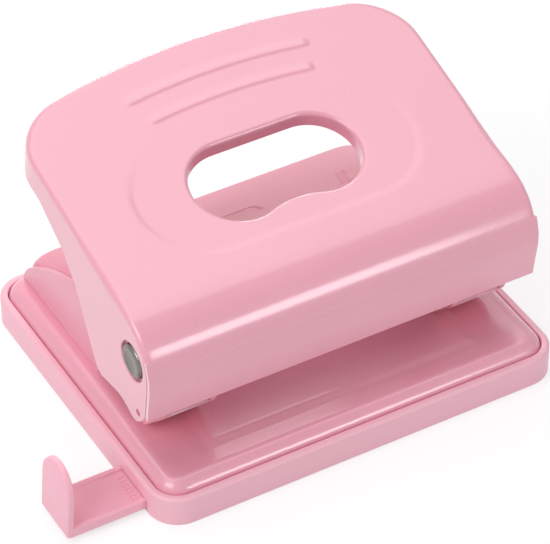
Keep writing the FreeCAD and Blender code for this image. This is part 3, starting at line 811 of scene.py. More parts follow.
def give_materials(piece: bpy.types.Object, *materials: bpy.types.Material) -> None:
    """Give a piece its materials, in slot order.

    Args:
        piece: the object.
        *materials: what its slots hold, first to last.
    """
    piece.data.materials.clear()
    for material in materials:
        piece.data.materials.append(material)


def dress(piece: bpy.types.Object, body: Body, nodes: Sequence[str], slot: str,
          *materials: bpy.types.Material) -> None:
    """Give a finished piece its materials, its body and the nodes that it stands for.

    Args:
        piece: the finished object.
        body: the body that it rides on.
        nodes: the frame nodes that it replaces.
        slot: the name of its material slot; it is not used.
        *materials: its materials, or none where they are already on it.
    """
    if materials:
        give_materials(piece, *materials)
    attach(piece, body.value)
    if nodes:
        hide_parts(*nodes)
    LOG.info("%s: %d faces on %s", piece.name, len(piece.data.polygons), body.value)


# ------------------------------------------------------------------ chip tray
@dataclass
class ChipTray:
    """Moulded tray: rounded walls, a ledge for the base plate and a closed tunnel for the guide."""

    corner: float = 8.0
    wall: float = 2.0
    ledge: float = 1.6
    ledge_height: float = 5.4
    floor: float = 1.2
    rim_round: float = 0.9
    inner_round: float = 0.4
    foot_round: float = 0.3
    floor_round: float = 0.5
    slot_gap: float = 0.15
    tunnel_wall: float = 1.2
    tunnel_roof: float = 1.0
    tunnel_sink: float = 0.4
    counts: tuple[int, int, int] = (60, 48, 14)

    def profile(self) -> Array:
        """Section of the tray as inset from the outer wall and height, from under to inside.

        Returns:
            A (n, 2) array.
        """
        _, half, top = node_box("chip_tray")[1]
        under = np.column_stack([np.linspace(half, 6.0, 8), np.zeros(8)])
        foot = arc_points((self.foot_round, self.foot_round), self.foot_round, 270, 180, 7)
        outer = arc_points((self.rim_round, top - self.rim_round), self.rim_round, 180, 90, 8)
        inner = arc_points((self.wall - self.inner_round, top - self.inner_round),
                           self.inner_round, 90, 0, 5)
        ledge_end = self.wall + self.ledge
        inside = np.column_stack([np.linspace(ledge_end + 1.0, half, 14), np.full(14, self.floor)])
        return chain(under, foot, outer, inner, (self.wall, self.ledge_height),
                     (ledge_end, self.ledge_height), (ledge_end, self.floor + self.floor_round),
                     (ledge_end + self.floor_round, self.floor), inside)

    def build(self, finishes: Finishes) -> None:
        """Make the tray's shell, cut the guide's slot and add the guide's tunnel.

        Args:
            finishes: the punch's finishes.
        """
        long, wide, _ = node_box("chip_tray")[1]
        rows = [frame_loop(long - inset, wide - inset, self.corner - inset, height, self.counts)
                for inset, height in self.profile()]
        tray = Draft().grid(np.stack(rows), wrap_columns=True, flip=True).build("tray_shell")
        tray = unite([tray, self.tunnel()])
        carve(tray, [self.slot_cutter()])
        shade(tray, 38.0)
        dress(tray, Body.TRAY, ["chip_tray"], "tray_plastic", finishes.tray)

    def slot_cutter(self) -> bpy.types.Object:
        """Block that cuts the guide's slot through the left wall.

        Returns:
            The block.
        """
        low, high, top = self.channel()
        left = node_box("chip_tray")[0][0]
        return closed_prism("slot_cutter", rectangle((low, self.floor), (high, top)),
                            (left - 2.0, left + self.wall + self.ledge + 1.0))

    def channel(self) -> tuple[float, float, float]:
        """Room that the guide's bar runs in: its lowest and highest Y and its roof's height."""
        bar = node_box("paper_guide")
        return bar[0][1] - self.slot_gap, bar[1][1] + self.slot_gap, PaperGuide().top + self.slot_gap

    def tunnel(self) -> bpy.types.Object:
        """Roofed channel on the tray's floor that the guide's bar runs in.

        Returns:
            The tunnel.
        """
        low, high, roof = self.channel()
        foot, ridge = self.floor - self.tunnel_sink, roof + self.tunnel_roof
        front, rear = low - self.tunnel_wall, high + self.tunnel_wall
        outline = chain((front, foot), (low, foot), (low, roof), (high, roof), (high, foot),
                        (rear, foot), (rear, ridge), (front, ridge))
        end = node_box("chip_tray")[1][0] - self.wall - self.ledge / 2
        piece = closed_prism("guide_tunnel", outline, (-end, end))
        soften(piece, 0.2)
        shade(piece)
        return piece


def closed_prism(name: str, outline: Array, places: Sequence[float]) -> bpy.types.Object:
    """Closed solid of an outline in Y and Z carried along X, with its ends filled.

    Args:
        name: the object's name.
        outline: (n, 2) of Y and Z.
        places: X values, from first to last.

    Returns:
        The new object, with its faces outwards.
    """
    grid = carried(outline, places)
    rows, columns = grid.shape[:2]
    index = np.arange(rows * columns).reshape(rows, columns)
    faces = quad_faces(np.hstack([index, index[:, :1]])).tolist()
    faces += [index[0].tolist(), index[-1, ::-1].tolist()]
    mesh = bpy.data.meshes.new(name)
    mesh.from_pydata((grid.reshape(-1, 3) * MM).tolist(), [], faces)
    piece = add_object(name, mesh)
    turn_outwards(piece)
    return piece


# ------------------------------------------------------------------ paper guide
@dataclass
class PaperGuide:
    """Sliding bar with a sunk face, a ladder of ticks, and an upright stop with a round top."""

    bottom: float = 1.3
    thickness: float = 2.4
    tab: float = 1.6
    border: float = 1.5
    recess: float = 0.5
    tick_pitch: float = 1.3
    tick_width: float = 0.5
    tick_depth: float = 0.22
    tick_start: float = 16.6
    tick_count: int = 7
    tick_length: float = 1.9
    tick_offset: float = 0.3
    edge: float = 0.25
    step: float = 0.25
    lean: float = 4.0

    @property
    def top(self) -> float:
        """Height of the bar's upper face."""
        return self.bottom + self.thickness

    def build(self, finishes: Finishes) -> None:
        """Make the bar and its stop as one moulding.

        Args:
            finishes: the punch's finishes.
        """
        bar = unite([self.bar(), self.stop()])
        shade(bar, 40.0)
        dress(bar, Body.GUIDE, ["paper_guide"], "guide_plastic", finishes.guide)

    def bar(self) -> bpy.types.Object:
        """The bar: an upper face of border, slope and sunk field with ticks, then its sides and underside.

        The upper face's height is the top minus the recess inside the border, minus a tick's depth where
        the place along Y falls on a rung of the ladder beside the tray's wall.

        Returns:
            The bar's object.
        """
        low, high = node_box("paper_guide")
        start = low[0] + self.tab * 0.5
        front, rear = low[1], high[1]
        along = np.arange(start, high[0] + 0.01, self.step)
        shelf = np.array([0.0, 0.08, 0.25, 0.6, self.border - 0.25, self.border, self.border + 0.2])
        field = np.linspace(self.border + 0.5, (rear - front) - self.border - 0.5, 60)
        across = front + np.concatenate([shelf, field, (rear - front) - shelf[::-1]])
        x, y = np.meshgrid(along, across, indexing="ij")
        inside = np.minimum(y - front, rear - y)
        depth = self.recess * smooth_step(self.border - 0.2, self.border + 0.15, inside)
        depth *= smooth_step(high[0] - self.border + 0.2, high[0] - self.border - 0.1, x)
        first = low[0] + self.tab + self.tick_start
        run = y - front - self.border - self.tick_offset
        on_tick = np.abs(run % self.tick_pitch - self.tick_width / 2) < self.tick_width / 2 + 0.01
        on_tick &= (run > 0.0) & (run < self.tick_count * self.tick_pitch)
        on_tick &= (x > first) & (x < first + self.tick_length)
        short = (1.0 - inside / self.edge).clip(0, 1)
        corner = self.edge * (1.0 - np.sqrt(np.clip(1.0 - short ** 2, 0, 1)))
        height = self.top - depth - corner - self.tick_depth * on_tick
        upper = np.stack([x, y, height], axis=-1)
        under = upper * [1.0, 1.0, 0.0] + [0.0, 0.0, self.bottom]
        draft = Draft().grid(np.concatenate([upper, under[:, ::-1]], axis=1), wrap_columns=True)
        for row, flip in ((-1, False), (0, True)):
            draft.grid(np.stack([upper[row], under[row]]), flip=flip)
        return draft.build("guide_bar")

    def stop(self) -> bpy.types.Object:
        """The stop: straight sides under a half-round top, leaning in, with softened rims.

        Returns:
            The stop's object.
        """
        low, high = node_box("paper_guide")
        half = (high[1] - low[1]) / 2
        middle = (high[1] + low[1]) / 2
        top = arc_points((middle, high[2] - half), half, 0, 180, 40)
        outline = chain((middle + half, self.bottom), top, (middle - half, self.bottom))
        piece = closed_prism("guide_stop", outline, (low[0], low[0] + self.tab))
        spots = np.empty(len(piece.data.vertices) * 3)
        piece.data.vertices.foreach_get("co", spots)
        spots = spots.reshape(-1, 3)
        spots[:, 0] += (spots[:, 2] - self.bottom * MM) * np.tan(np.radians(self.lean))
        piece.data.vertices.foreach_set("co", spots.ravel())
        soften(piece, 0.35, 60.0, 3)
        return piece


# ------------------------------------------------------------------ base plate
@dataclass
class BasePlate:
    """Pressed plate with a full round edge and a low raised field with sloping sides."""

    sheet: float = 1.0
    corner: float = 5.85
    top: float = 10.5
    edge_radius: float = 4.0
    field_half_width: float = 37.5
    field_front: float = -35.7
    field_rear: float = -16.7
    field_rise: float = 0.7
    field_slope: float = 2.6
    brow_round: float = 0.09
    die_radius: float = 4.5
    die_cut: tuple[float, float] = (8.0, 12.5)
    punch_x: float = 40.0
    punch_y: float = -11.1
    counts: tuple[int, int, int] = (150, 84, 12)

    def rise(self, x: Array, y: Array) -> Array:
        """Height of the raised field: its slope's share times its rise, rounded at foot and brow.

        Args:
            x: places along X.
            y: places along Y.

        Returns:
            The height over the plate's flat.
        """
        side = self.field_half_width - np.abs(x)
        inside = np.minimum(side, np.minimum(y - self.field_front, self.field_rear - y))
        share = np.clip(inside / self.field_slope, 0.0, 1.0)
        return self.field_rise * (share + self.brow_round * np.sin(2.0 * np.pi * (share - 0.5)))

    def skins(self) -> Draft:
        """Outer skin with the field, rim, and inner skin one sheet further in.

        Returns:
            The mesh in the making.
        """
        low, high = node_box("base_plate")
        radius = self.edge_radius
        wall = chain((0.0, low[2]), arc_points((radius, self.top - radius), radius, 180, 90, 14))
        flat = np.concatenate([np.arange(radius + 0.5, 30.0, 0.55), np.linspace(31.0, high[1], 12)])
        outer = np.column_stack([flat, np.full(len(flat), self.top)])
        inner_bend = arc_points((radius, self.top - radius), radius - self.sheet, 90, 180, 8)
        inner_flat = np.linspace([high[1], self.top - self.sheet], [radius + 1.0, self.top - self.sheet], 40)
        rows = []
        for inset, height in chain(inner_flat, inner_bend, (self.sheet, low[2]), wall, outer):
            loop = frame_loop(high[0] - inset, high[1] - inset, self.corner - inset, height, self.counts)
            if inset >= radius:
                loop[:, 2] += self.rise(loop[:, 0], loop[:, 1])
            rows.append(loop)
        return Draft().grid(np.stack(rows), wrap_columns=True, flip=True)

    def build(self, finishes: Finishes) -> None:
        """Make the plate and cut the die holes.

        Args:
            finishes: the punch's finishes.
        """
        plate = self.skins().build("pressed_plate")
        places = [(side.value * self.punch_x, self.punch_y, 0.0) for side in Side]
        carve(plate, [pin_cutter("die_cutter", self.die_radius, place, Axis.Z, self.die_cut, 64)
                      for place in places])
        shade(plate, 34.0)
        dress(plate, Body.CHASSIS, ["base_plate"], "painted_sheet", finishes.enamel)


# ------------------------------------------------------------------ lever
@dataclass
class Lever:
    """Pressed lever: a plate with a bean-shaped hand hole, a dish and two bars, bent down on all sides.

    Its own axes are x across, a along the plate from the pivot, and n square to the plate.
    """

    half: float = 52.6
    slope: float = 15.0
    rise: float = 11.4
    sheet: float = 1.0
    bend_radius: float = 14.0
    skirt_distance: float = 8.7
    skirt_splay: float = 7.6
    skirt_bottom: float = 25.4
    length: float = 72.0
    corner: float = 16.0
    bow: float = 180.0
    seam_angle: float = 140.0
    slit: float = 0.32
    hole_centre: float = 29.3
    hole_half: float = 22.1
    hole_end: float = 11.4
    hole_bump: float = 20.0
    lip: float = 1.1
    flange: float = 4.4
    dish_centre: float = 29.3
    dish_half: float = 36.8
    dish_radius: float = 17.1
    dish_depth: float = 0.28
    dish_width: float = 2.6
    dish_fade: tuple[float, float, float] = (33.0, 47.0, 0.9)
    bar_height: float = 0.32
    bar_front: tuple[float, float] = (-0.15, 0.7)
    bar_rear: tuple[float, float] = (-0.3, 2.6)
    wall_join: float = 9.8
    wall_window: float = 1.1
    dimple_radius: float = 5.1
    dimple_depth: float = 1.2
    dimple_round: float = 0.35
    dimple_floor: float = 3.6
    pin_radius: float = 2.55
    columns: int = 72
    wall_outline: tuple[tuple[float, float], ...] = (
        (-9.2, -10.6), (-8.1, -13.4), (-6.6, -15.9), (-5.2, -17.0), (-3.8, -17.2), (-2.0, -16.8),
        (0.2, -16.6), (2.9, -16.85), (6.2, -18.2), (9.0, -19.5), (11.6, -20.8), (13.4, -20.3),
        (26.9, -5.7), (35.1, -0.5), (42.5, 1.7), (47.5, 3.2), (55.8, 2.9), (58.4, 6.9), (80.0, 7.0))
    wall_hole: tuple[float, float, float] = (-5.9, -12.9, 0.95)
    wall_hole_ends: tuple[float, float] = (49.0, 55.0)
    fold_radii: tuple[tuple[float, float], ...] = (
        (0.0, 1.3), (8.0, 1.5), (14.0, 2.1), (22.0, 2.0), (30.0, 1.5), (50.0, 1.4), (56.0, 1.6),
        (60.0, 2.0), (66.0, 2.0), (70.0, 1.6))
    bars: tuple[tuple[float, float, float], ...] = ((61.1, -24.5, 25.5), (53.7, -21.6, 23.0))
    bar_width: float = 2.1
    crease: tuple[float, float] = (15.55, 0.12)
    crease_width: float = 0.7
    crease_fade: tuple[float, float] = (2.5, 14.0)
    bend_ease: float = 6.0

    def __post_init__(self) -> None:
        """Take the pivot from the frame, and work out the plate's directions and the front bend's place."""
        self.pivot = pivot_point(Side.LEFT)
        tilt = np.radians(self.slope)
        self.along = np.array([0.0, np.cos(tilt), np.sin(tilt)])
        self.off = np.array([0.0, -np.sin(tilt), np.cos(tilt)])
        splay = np.radians(self.skirt_splay)
        self.bend_n = self.rise - self.bend_radius
        self.bend_a = ((self.bend_n * np.sin(splay) - (self.skirt_distance - self.bend_radius))
                       / np.cos(splay))
        self.front_a = self.bend_a + self.bend_ease / 2
        self.front_angles = np.linspace(90.0 - np.degrees(self.bend_ease / 2 / self.bend_radius),
                                        self.seam_angle, 24)

    def place(self, x: Array, a: Array, n: Array) -> Array:
        """World points of lever coordinates: pivot + x across + a along + n off the plate.

        Args:
            x: places across.
            a: places along the plate.
            n: heights off the pivot, square to the plate.

        Returns:
            The points, with a last axis of three.
        """
        x, a, n = np.broadcast_arrays(x, a, n)
        return (self.pivot + x[..., None] * np.array([1.0, 0.0, 0.0]) + a[..., None] * self.along
                + n[..., None] * self.off)

    def fold_radius(self, a: Array) -> Array:
        """Radius of the bend between plate and side wall at a place along the plate."""
        places, radii = np.array(self.fold_radii).T
        return np.interp(a, places, radii)

    def wall_bottom(self, a: Array) -> Array:
        """Lower edge of the side walls and rear flange: the outline's mean over a short window.

        Args:
            a: places along the plate.

        Returns:
            The edge's height there.
        """
        places, depths = np.array(self.wall_outline).T
        window = np.linspace(-self.wall_window, self.wall_window, 9)
        return np.mean([np.interp(np.asarray(a) + shift, places, depths) for shift in window], axis=0)

    def relief(self, x: Array, a: Array) -> Array:
        """Pressed relief of the plate: a dish round the hole and raised bars behind it.

        The dish is its depth times a smooth step over the distance inside a stadium, and fades to the
        rear. Each bar follows the rear edge's arc. Its height is a smooth step over the distance inside
        its front and ends, times one that falls off slowly behind it.

        Args:
            x: places across.
            a: places along.

        Returns:
            The height over the plate.
        """
        straight = self.dish_half - self.dish_radius
        from_line = np.hypot(np.maximum(np.abs(x) - straight, 0.0), a - self.dish_centre)
        inside = self.dish_radius - from_line
        start, end, loss = self.dish_fade
        fade = 1.0 - loss * smooth_step(start, end, a)
        height = -self.dish_depth * fade * smooth_step(-self.dish_width / 2, self.dish_width / 2, inside)
        centre = self.length - self.bow
        for place, left, right in self.bars:
            half = self.bar_width / 2
            run = (place - centre) * np.arctan2(x, a - centre) - (left + right) / 2
            reach = np.maximum(np.abs(run) - (right - left) / 2 + half, 0.0)
            behind = np.hypot(x, a - centre) - (place - centre)
            within = half - np.hypot(reach, np.minimum(behind, 0.0))
            rear = 1.0 - smooth_step(*self.bar_rear, behind)
            height = height + self.bar_height * rear * smooth_step(*self.bar_front, within)
        return height

    def front_line(self, run: Array, inset: float) -> Array:
        """Plate, bend and skirt as one line, softened where they meet.

        The sharp line is a straight, an arc of the bend's radius and a straight; each point here is its
        mean over a window of running length, moved in along the line's normal. The crease moves it out
        by a smooth step, and back by a slower one.

        Args:
            run: running length from where the arc starts; it is under 0 on the plate.
            inset: distance in from the outer face.

        Returns:
            A (n, 2) array of a and n.
        """
        splay = np.radians(self.skirt_splay)
        last = np.pi / 2 - splay

        def softened(start: Array) -> Array:
            """Mean of the sharp line over the window.

            Args:
                start: running lengths.

            Returns:
                A (n, 2) array of a and n.
            """
            places = start[:, None] + np.linspace(-0.5, 0.5, 41) * self.bend_ease
            turn = np.clip(places / self.bend_radius, 0.0, last)
            beyond = np.maximum(places - self.bend_radius * last, 0.0)
            a = (self.bend_a - self.bend_radius * np.sin(turn) - np.minimum(places, 0.0)
                 - beyond * np.sin(splay))
            n = self.bend_n + self.bend_radius * np.cos(turn) - beyond * np.cos(splay)
            return np.stack([a.mean(axis=1), n.mean(axis=1)], axis=-1)

        run = np.asarray(run, float)
        ahead = softened(run + 0.01) - softened(run - 0.01)
        ahead /= np.linalg.norm(ahead, axis=1)[:, None]
        start, proud = self.crease
        fade_start, fade_end = self.crease_fade
        proud *= (smooth_step(start, start + self.crease_width, run)
                  - smooth_step(start + fade_start, start + fade_end, run))
        return softened(run) + (proud - inset)[:, None] * np.column_stack([ahead[:, 1], -ahead[:, 0]])

    def perimeter(self) -> tuple[Array, Array]:
        """Outer plan line from the right front corner round the rear to the left front corner.

        Returns:
            The points (x, a) and the outward directions, both (n, 2).
        """
        centre_a = self.length - self.bow
        corner_x = self.half - self.corner
        lean = np.degrees(np.arcsin(corner_x / (self.bow - self.corner)))
        corner_a = centre_a + (self.bow - self.corner) * np.cos(np.radians(lean))
        side_a = np.concatenate([np.linspace(self.front_a, self.wall_join, 9),
                                 np.linspace(self.wall_join, corner_a, 44)[1:-1]])
        side = np.column_stack([np.full(len(side_a), self.half), side_a])
        bend = arc_points((corner_x, corner_a), self.corner, 0, 90 - lean, 20)
        rear = arc_points((0.0, centre_a), self.bow, 90 - lean, 90, 40)[1:]
        half_line = np.vstack([side, bend, rear])
        flat = np.column_stack([np.ones(len(side)), np.zeros(len(side))])
        out_bend = (bend - [corner_x, corner_a]) / self.corner
        out_rear = (rear - [0.0, centre_a]) / self.bow
        half_out = np.vstack([flat, out_bend, out_rear])
        mirror = np.array([-1.0, 1.0])
        return (np.vstack([half_line, half_line[-2::-1] * mirror]),
                np.vstack([half_out, half_out[-2::-1] * mirror]))

    def hole_sectors(self) -> list[Array]:
        """Hand hole's outline in four stretches: right, rear, left and front.

        The ends are arcs, the rear edge is straight, and the front edge rises in a soft bump whose arc
        touches both ends.

        Returns:
            Four (n, 2) arrays that run anticlockwise from the lower right.
        """
        cx = self.hole_half - self.hole_end
        drop = np.sqrt((self.hole_end + self.hole_bump) ** 2 - cx ** 2)
        touch = np.degrees(np.arctan2(-drop, -cx))
        right = (cx, self.hole_centre)
        left = (-cx, self.hole_centre)
        bump = (0.0, self.hole_centre - drop)
        meet = np.degrees(np.arctan2(drop, cx))
        rear = chain(arc_points(right, self.hole_end, 50, 90, 30),
                     arc_points(left, self.hole_end, 90, 130, 30))
        front = chain(arc_points(left, self.hole_end, 230, 360 - 180 - touch, 40),
                      arc_points(bump, self.hole_bump, 180 - meet, meet, 40),
                      arc_points(right, self.hole_end, touch, -50, 40))
        return [arc_points(right, self.hole_end, -50, 50, 80), rear,
                arc_points(left, self.hole_end, 130, 230, 80), front]

    def ring(self) -> tuple[Array, Array, Array]:
        """Matching points on the hole and on the plate's outer end, all the way round.

        Returns:
            The hole's points, its directions into the metal, and the plate's end points.
        """
        line, out = self.perimeter()
        fold = self.fold_radius(line[:, 1])
        plate_end = line - out * fold[:, None]
        count = len(line)
        turn = int(np.argmax(line[:, 0] < self.half - 1e-6)) - 1
        across = np.linspace(-plate_end[0, 0], plate_end[0, 0], self.columns)[1:-1]
        front = np.column_stack([across, np.full(len(across), self.front_a)])
        loop = np.vstack([plate_end, front])
        cuts = [(0, turn), (turn, count - 1 - turn), (count - 1 - turn, count - 1)]
        hole = np.zeros_like(loop)
        for (start, end), sector in zip(cuts, self.hole_sectors()[:3]):
            hole[start:end + 1] = resample(sector, running_fraction(loop[start:end + 1]))
        closing = np.vstack([loop[count - 1:], loop[:1]])
        hole[count - 1:] = resample(self.hole_sectors()[3], running_fraction(closing))[:-1]
        ahead = np.roll(hole, -1, axis=0) - np.roll(hole, 1, axis=0)
        outward = np.column_stack([ahead[:, 1], -ahead[:, 0]])
        outward /= np.linalg.norm(outward, axis=1)[:, None]
        return hole, outward, loop

    def plate(self, draft: Draft) -> None:
        """Flange, lip and plate: rows run from the hole's lower rim out to the folds.

        The lip is lip * (1 - sin, 1 - cos) about the hole's edge, and the plate's rows are straight
        blends between lip and fold, lifted by the relief.

        Args:
            draft: the lever's mesh in the making.
        """
        hole, outward, loop = self.ring()
        rows = [(hole, self.rise - depth) for depth in np.linspace(self.flange, self.lip, 4)[:-1]]
        for angle in np.radians(np.linspace(0.0, 90.0, 9)):
            inset = self.lip * (1.0 - np.cos(angle))
            rows.append((hole + outward * inset, self.rise - self.lip * (1 - np.sin(angle))))
        start = hole + outward * self.lip
        rows += [(start + (loop - start) * share, self.rise) for share in np.linspace(0.0, 1.0, 76)[1:]]
        grid = [self.place(*points.T, height + self.relief(*points.T)) for points, height in rows]
        draft.grid(np.stack(grid), wrap_columns=True)

    def folds(self, draft: Draft) -> None:
        """Bends and walls of the sides and rear: an arc of the fold's radius, then straight down.

        Args:
            draft: the lever's mesh in the making.
        """
        line, out = self.perimeter()
        radius = self.fold_radius(line[:, 1])
        bottom = self.wall_bottom(line[:, 1])
        rows = []
        for angle in np.radians(np.linspace(0.0, 90.0, 13)):
            points = line - out * (radius * (1.0 - np.sin(angle)))[:, None]
            rows.append(self.place(*points.T, self.rise - radius * (1.0 - np.cos(angle))))
        draft.grid(np.stack(rows))
        joined = line[:, 1] >= self.wall_join - 1e-6
        line, radius, bottom = line[joined], radius[joined], bottom[joined]
        draft.grid(np.stack([self.place(*line.T, (self.rise - radius) * (1.0 - share) + bottom * share)
                             for share in self.wall_shares()]))

    @staticmethod
    def wall_shares() -> Array:
        """Shares of a wall's depth at which its rows lie."""
        return np.linspace(0.0, 1.0, 22)

    def front(self, draft: Draft) -> None:
        """Front bend and skirt, folded over at the sides down to the seam and cut square below it.

        Args:
            draft: the lever's mesh in the making.
        """
        fold = float(self.fold_radius(self.front_a))
        edge = self.half - fold
        across = np.linspace(-edge, edge, self.columns)
        upper = self.front_angles
        fine = 90.0 + np.degrees((self.crease[0] + np.linspace(-0.1, 0.8, 9)) / self.bend_radius)
        lower = np.union1d(np.linspace(self.seam_angle, 180.0 - self.skirt_splay, 18), fine)
        profile = self.skirt_profile(np.concatenate([upper, lower[1:]]), 0.0)
        draft.grid(np.stack([self.place(across, a, n) for a, n in profile]))
        columns = []
        for angle in np.radians(np.linspace(0.0, 90.0, 13)):
            line = self.skirt_profile(upper, fold * (1.0 - np.cos(angle)))[:len(upper)]
            columns.append(self.place(edge + fold * np.sin(angle), *line.T))
        draft.both_sides(np.stack(columns, axis=1))
        wide = np.linspace(edge, self.half, 4)
        draft.both_sides(np.stack([self.place(wide, a, n) for a, n in self.skirt_profile(lower, 0.0)]))

    def skirt_profile(self, angles: Array, inset: float) -> Array:
        """Front bend's and skirt's line in a and n, moved inwards by an inset.

        Args:
            angles: angles of the bend's points in degrees.
            inset: distance in from the outer face.

        Returns:
            A (n, 2) array that ends at the skirt's lower edge.
        """
        run = self.bend_radius * np.radians(np.asarray(angles) - 90.0)
        more = run[-1] + np.linspace(0.0, 26.0, 261)
        fall = self.front_line(more, inset)
        height = self.pivot[2] + fall[:, 0] * self.along[2] + fall[:, 1] * self.off[2]
        reach = float(np.interp(-self.skirt_bottom, -height, more))
        straight = self.front_line(np.linspace(run[-1], reach, 14)[1:], inset)
        return np.vstack([self.front_line(run, inset), straight])

    def wall_front(self, draft: Draft) -> None:
        """Side wall round the pivot: rings from the pin hole over the dimple out to the wall's edge.

        The outer ring follows the fold, the inside of the skirt and the lower edge; the rings between
        blend straight towards the dimple's circle, and x drops by the dimple's section.

        Args:
            draft: the lever's mesh in the making.
        """
        fold = float(self.fold_radius(self.front_a))
        places = np.linspace(self.wall_join, self.front_a, 9)
        top = np.column_stack([places, self.rise - self.fold_radius(places)])
        upper = self.skirt_profile(self.front_angles, fold)[:len(self.front_angles)]
        behind = self.skirt_profile(np.linspace(self.seam_angle + 1.0, 180.0 - self.skirt_splay, 12),
                                    self.sheet + self.slit)[:-1]
        low_a = np.linspace(behind[-1, 0] + 0.35, self.wall_join, 60)
        low = np.column_stack([low_a, self.wall_bottom(low_a)])
        last_n = float(self.wall_bottom(np.array([self.wall_join]))[0])
        first_n = self.rise - float(self.fold_radius(self.wall_join))
        shares = self.wall_shares()
        right = np.column_stack([np.full(len(shares), self.wall_join),
                                 first_n * (1 - shares) + last_n * shares])
        outline = chain(top, upper, behind, low, right[::-1])
        if np.allclose(outline[0], outline[-1], atol=1e-6):
            outline = outline[:-1]
        ray = outline / np.linalg.norm(outline, axis=1)[:, None]
        sections = self.dimple_section()
        rows = [self.place(self.half - depth, *(ray * radius).T) for radius, depth in sections]
        start = ray * sections[-1][0]
        for share in np.linspace(0.0, 1.0, 10)[1:]:
            rows.append(self.place(self.half, *(start + (outline - start) * share).T))
        draft.both_sides(np.concatenate([np.stack(rows), np.stack(rows)[:, :1]], axis=1))

    def dimple_section(self) -> Array:
        """Radius and depth of the dimple's rings, from the pin hole outwards.

        Returns:
            A (n, 2) array.
        """
        floor, bend = self.dimple_depth, self.dimple_round
        foot = arc_points((self.dimple_radius - bend, floor - bend), bend, 90, 0, 5)
        lip = arc_points((self.dimple_radius + bend, bend), bend, 180, 270, 5)
        return chain((self.pin_radius, floor), (self.dimple_floor, floor), foot, lip,
                     (self.dimple_radius + 0.9, 0.0))

    def build(self, finishes: Finishes) -> None:
        """Make the lever as one sheet.

        Args:
            finishes: the punch's finishes.
        """
        draft = Draft()
        for stretch in (self.plate, self.folds, self.front, self.wall_front):
            stretch(draft)
        lever = draft.build("pressed_lever")
        # painted highlight: the lever's cut rims take the lighter edge enamel
        give_materials(lever, finishes.enamel, finishes.cut_edge)
        thicken(lever, self.sheet, 1)
        a, n, radius = self.wall_hole
        spot = self.place(0.0, a, n)
        carve(lever, [pin_cutter("wall_hole", radius, spot, Axis.X, side.span(*self.wall_hole_ends))
                      for side in Side])
        shade(lever, 38.0)
        dress(lever, Body.LEVER, ["lever"], "painted_sheet")


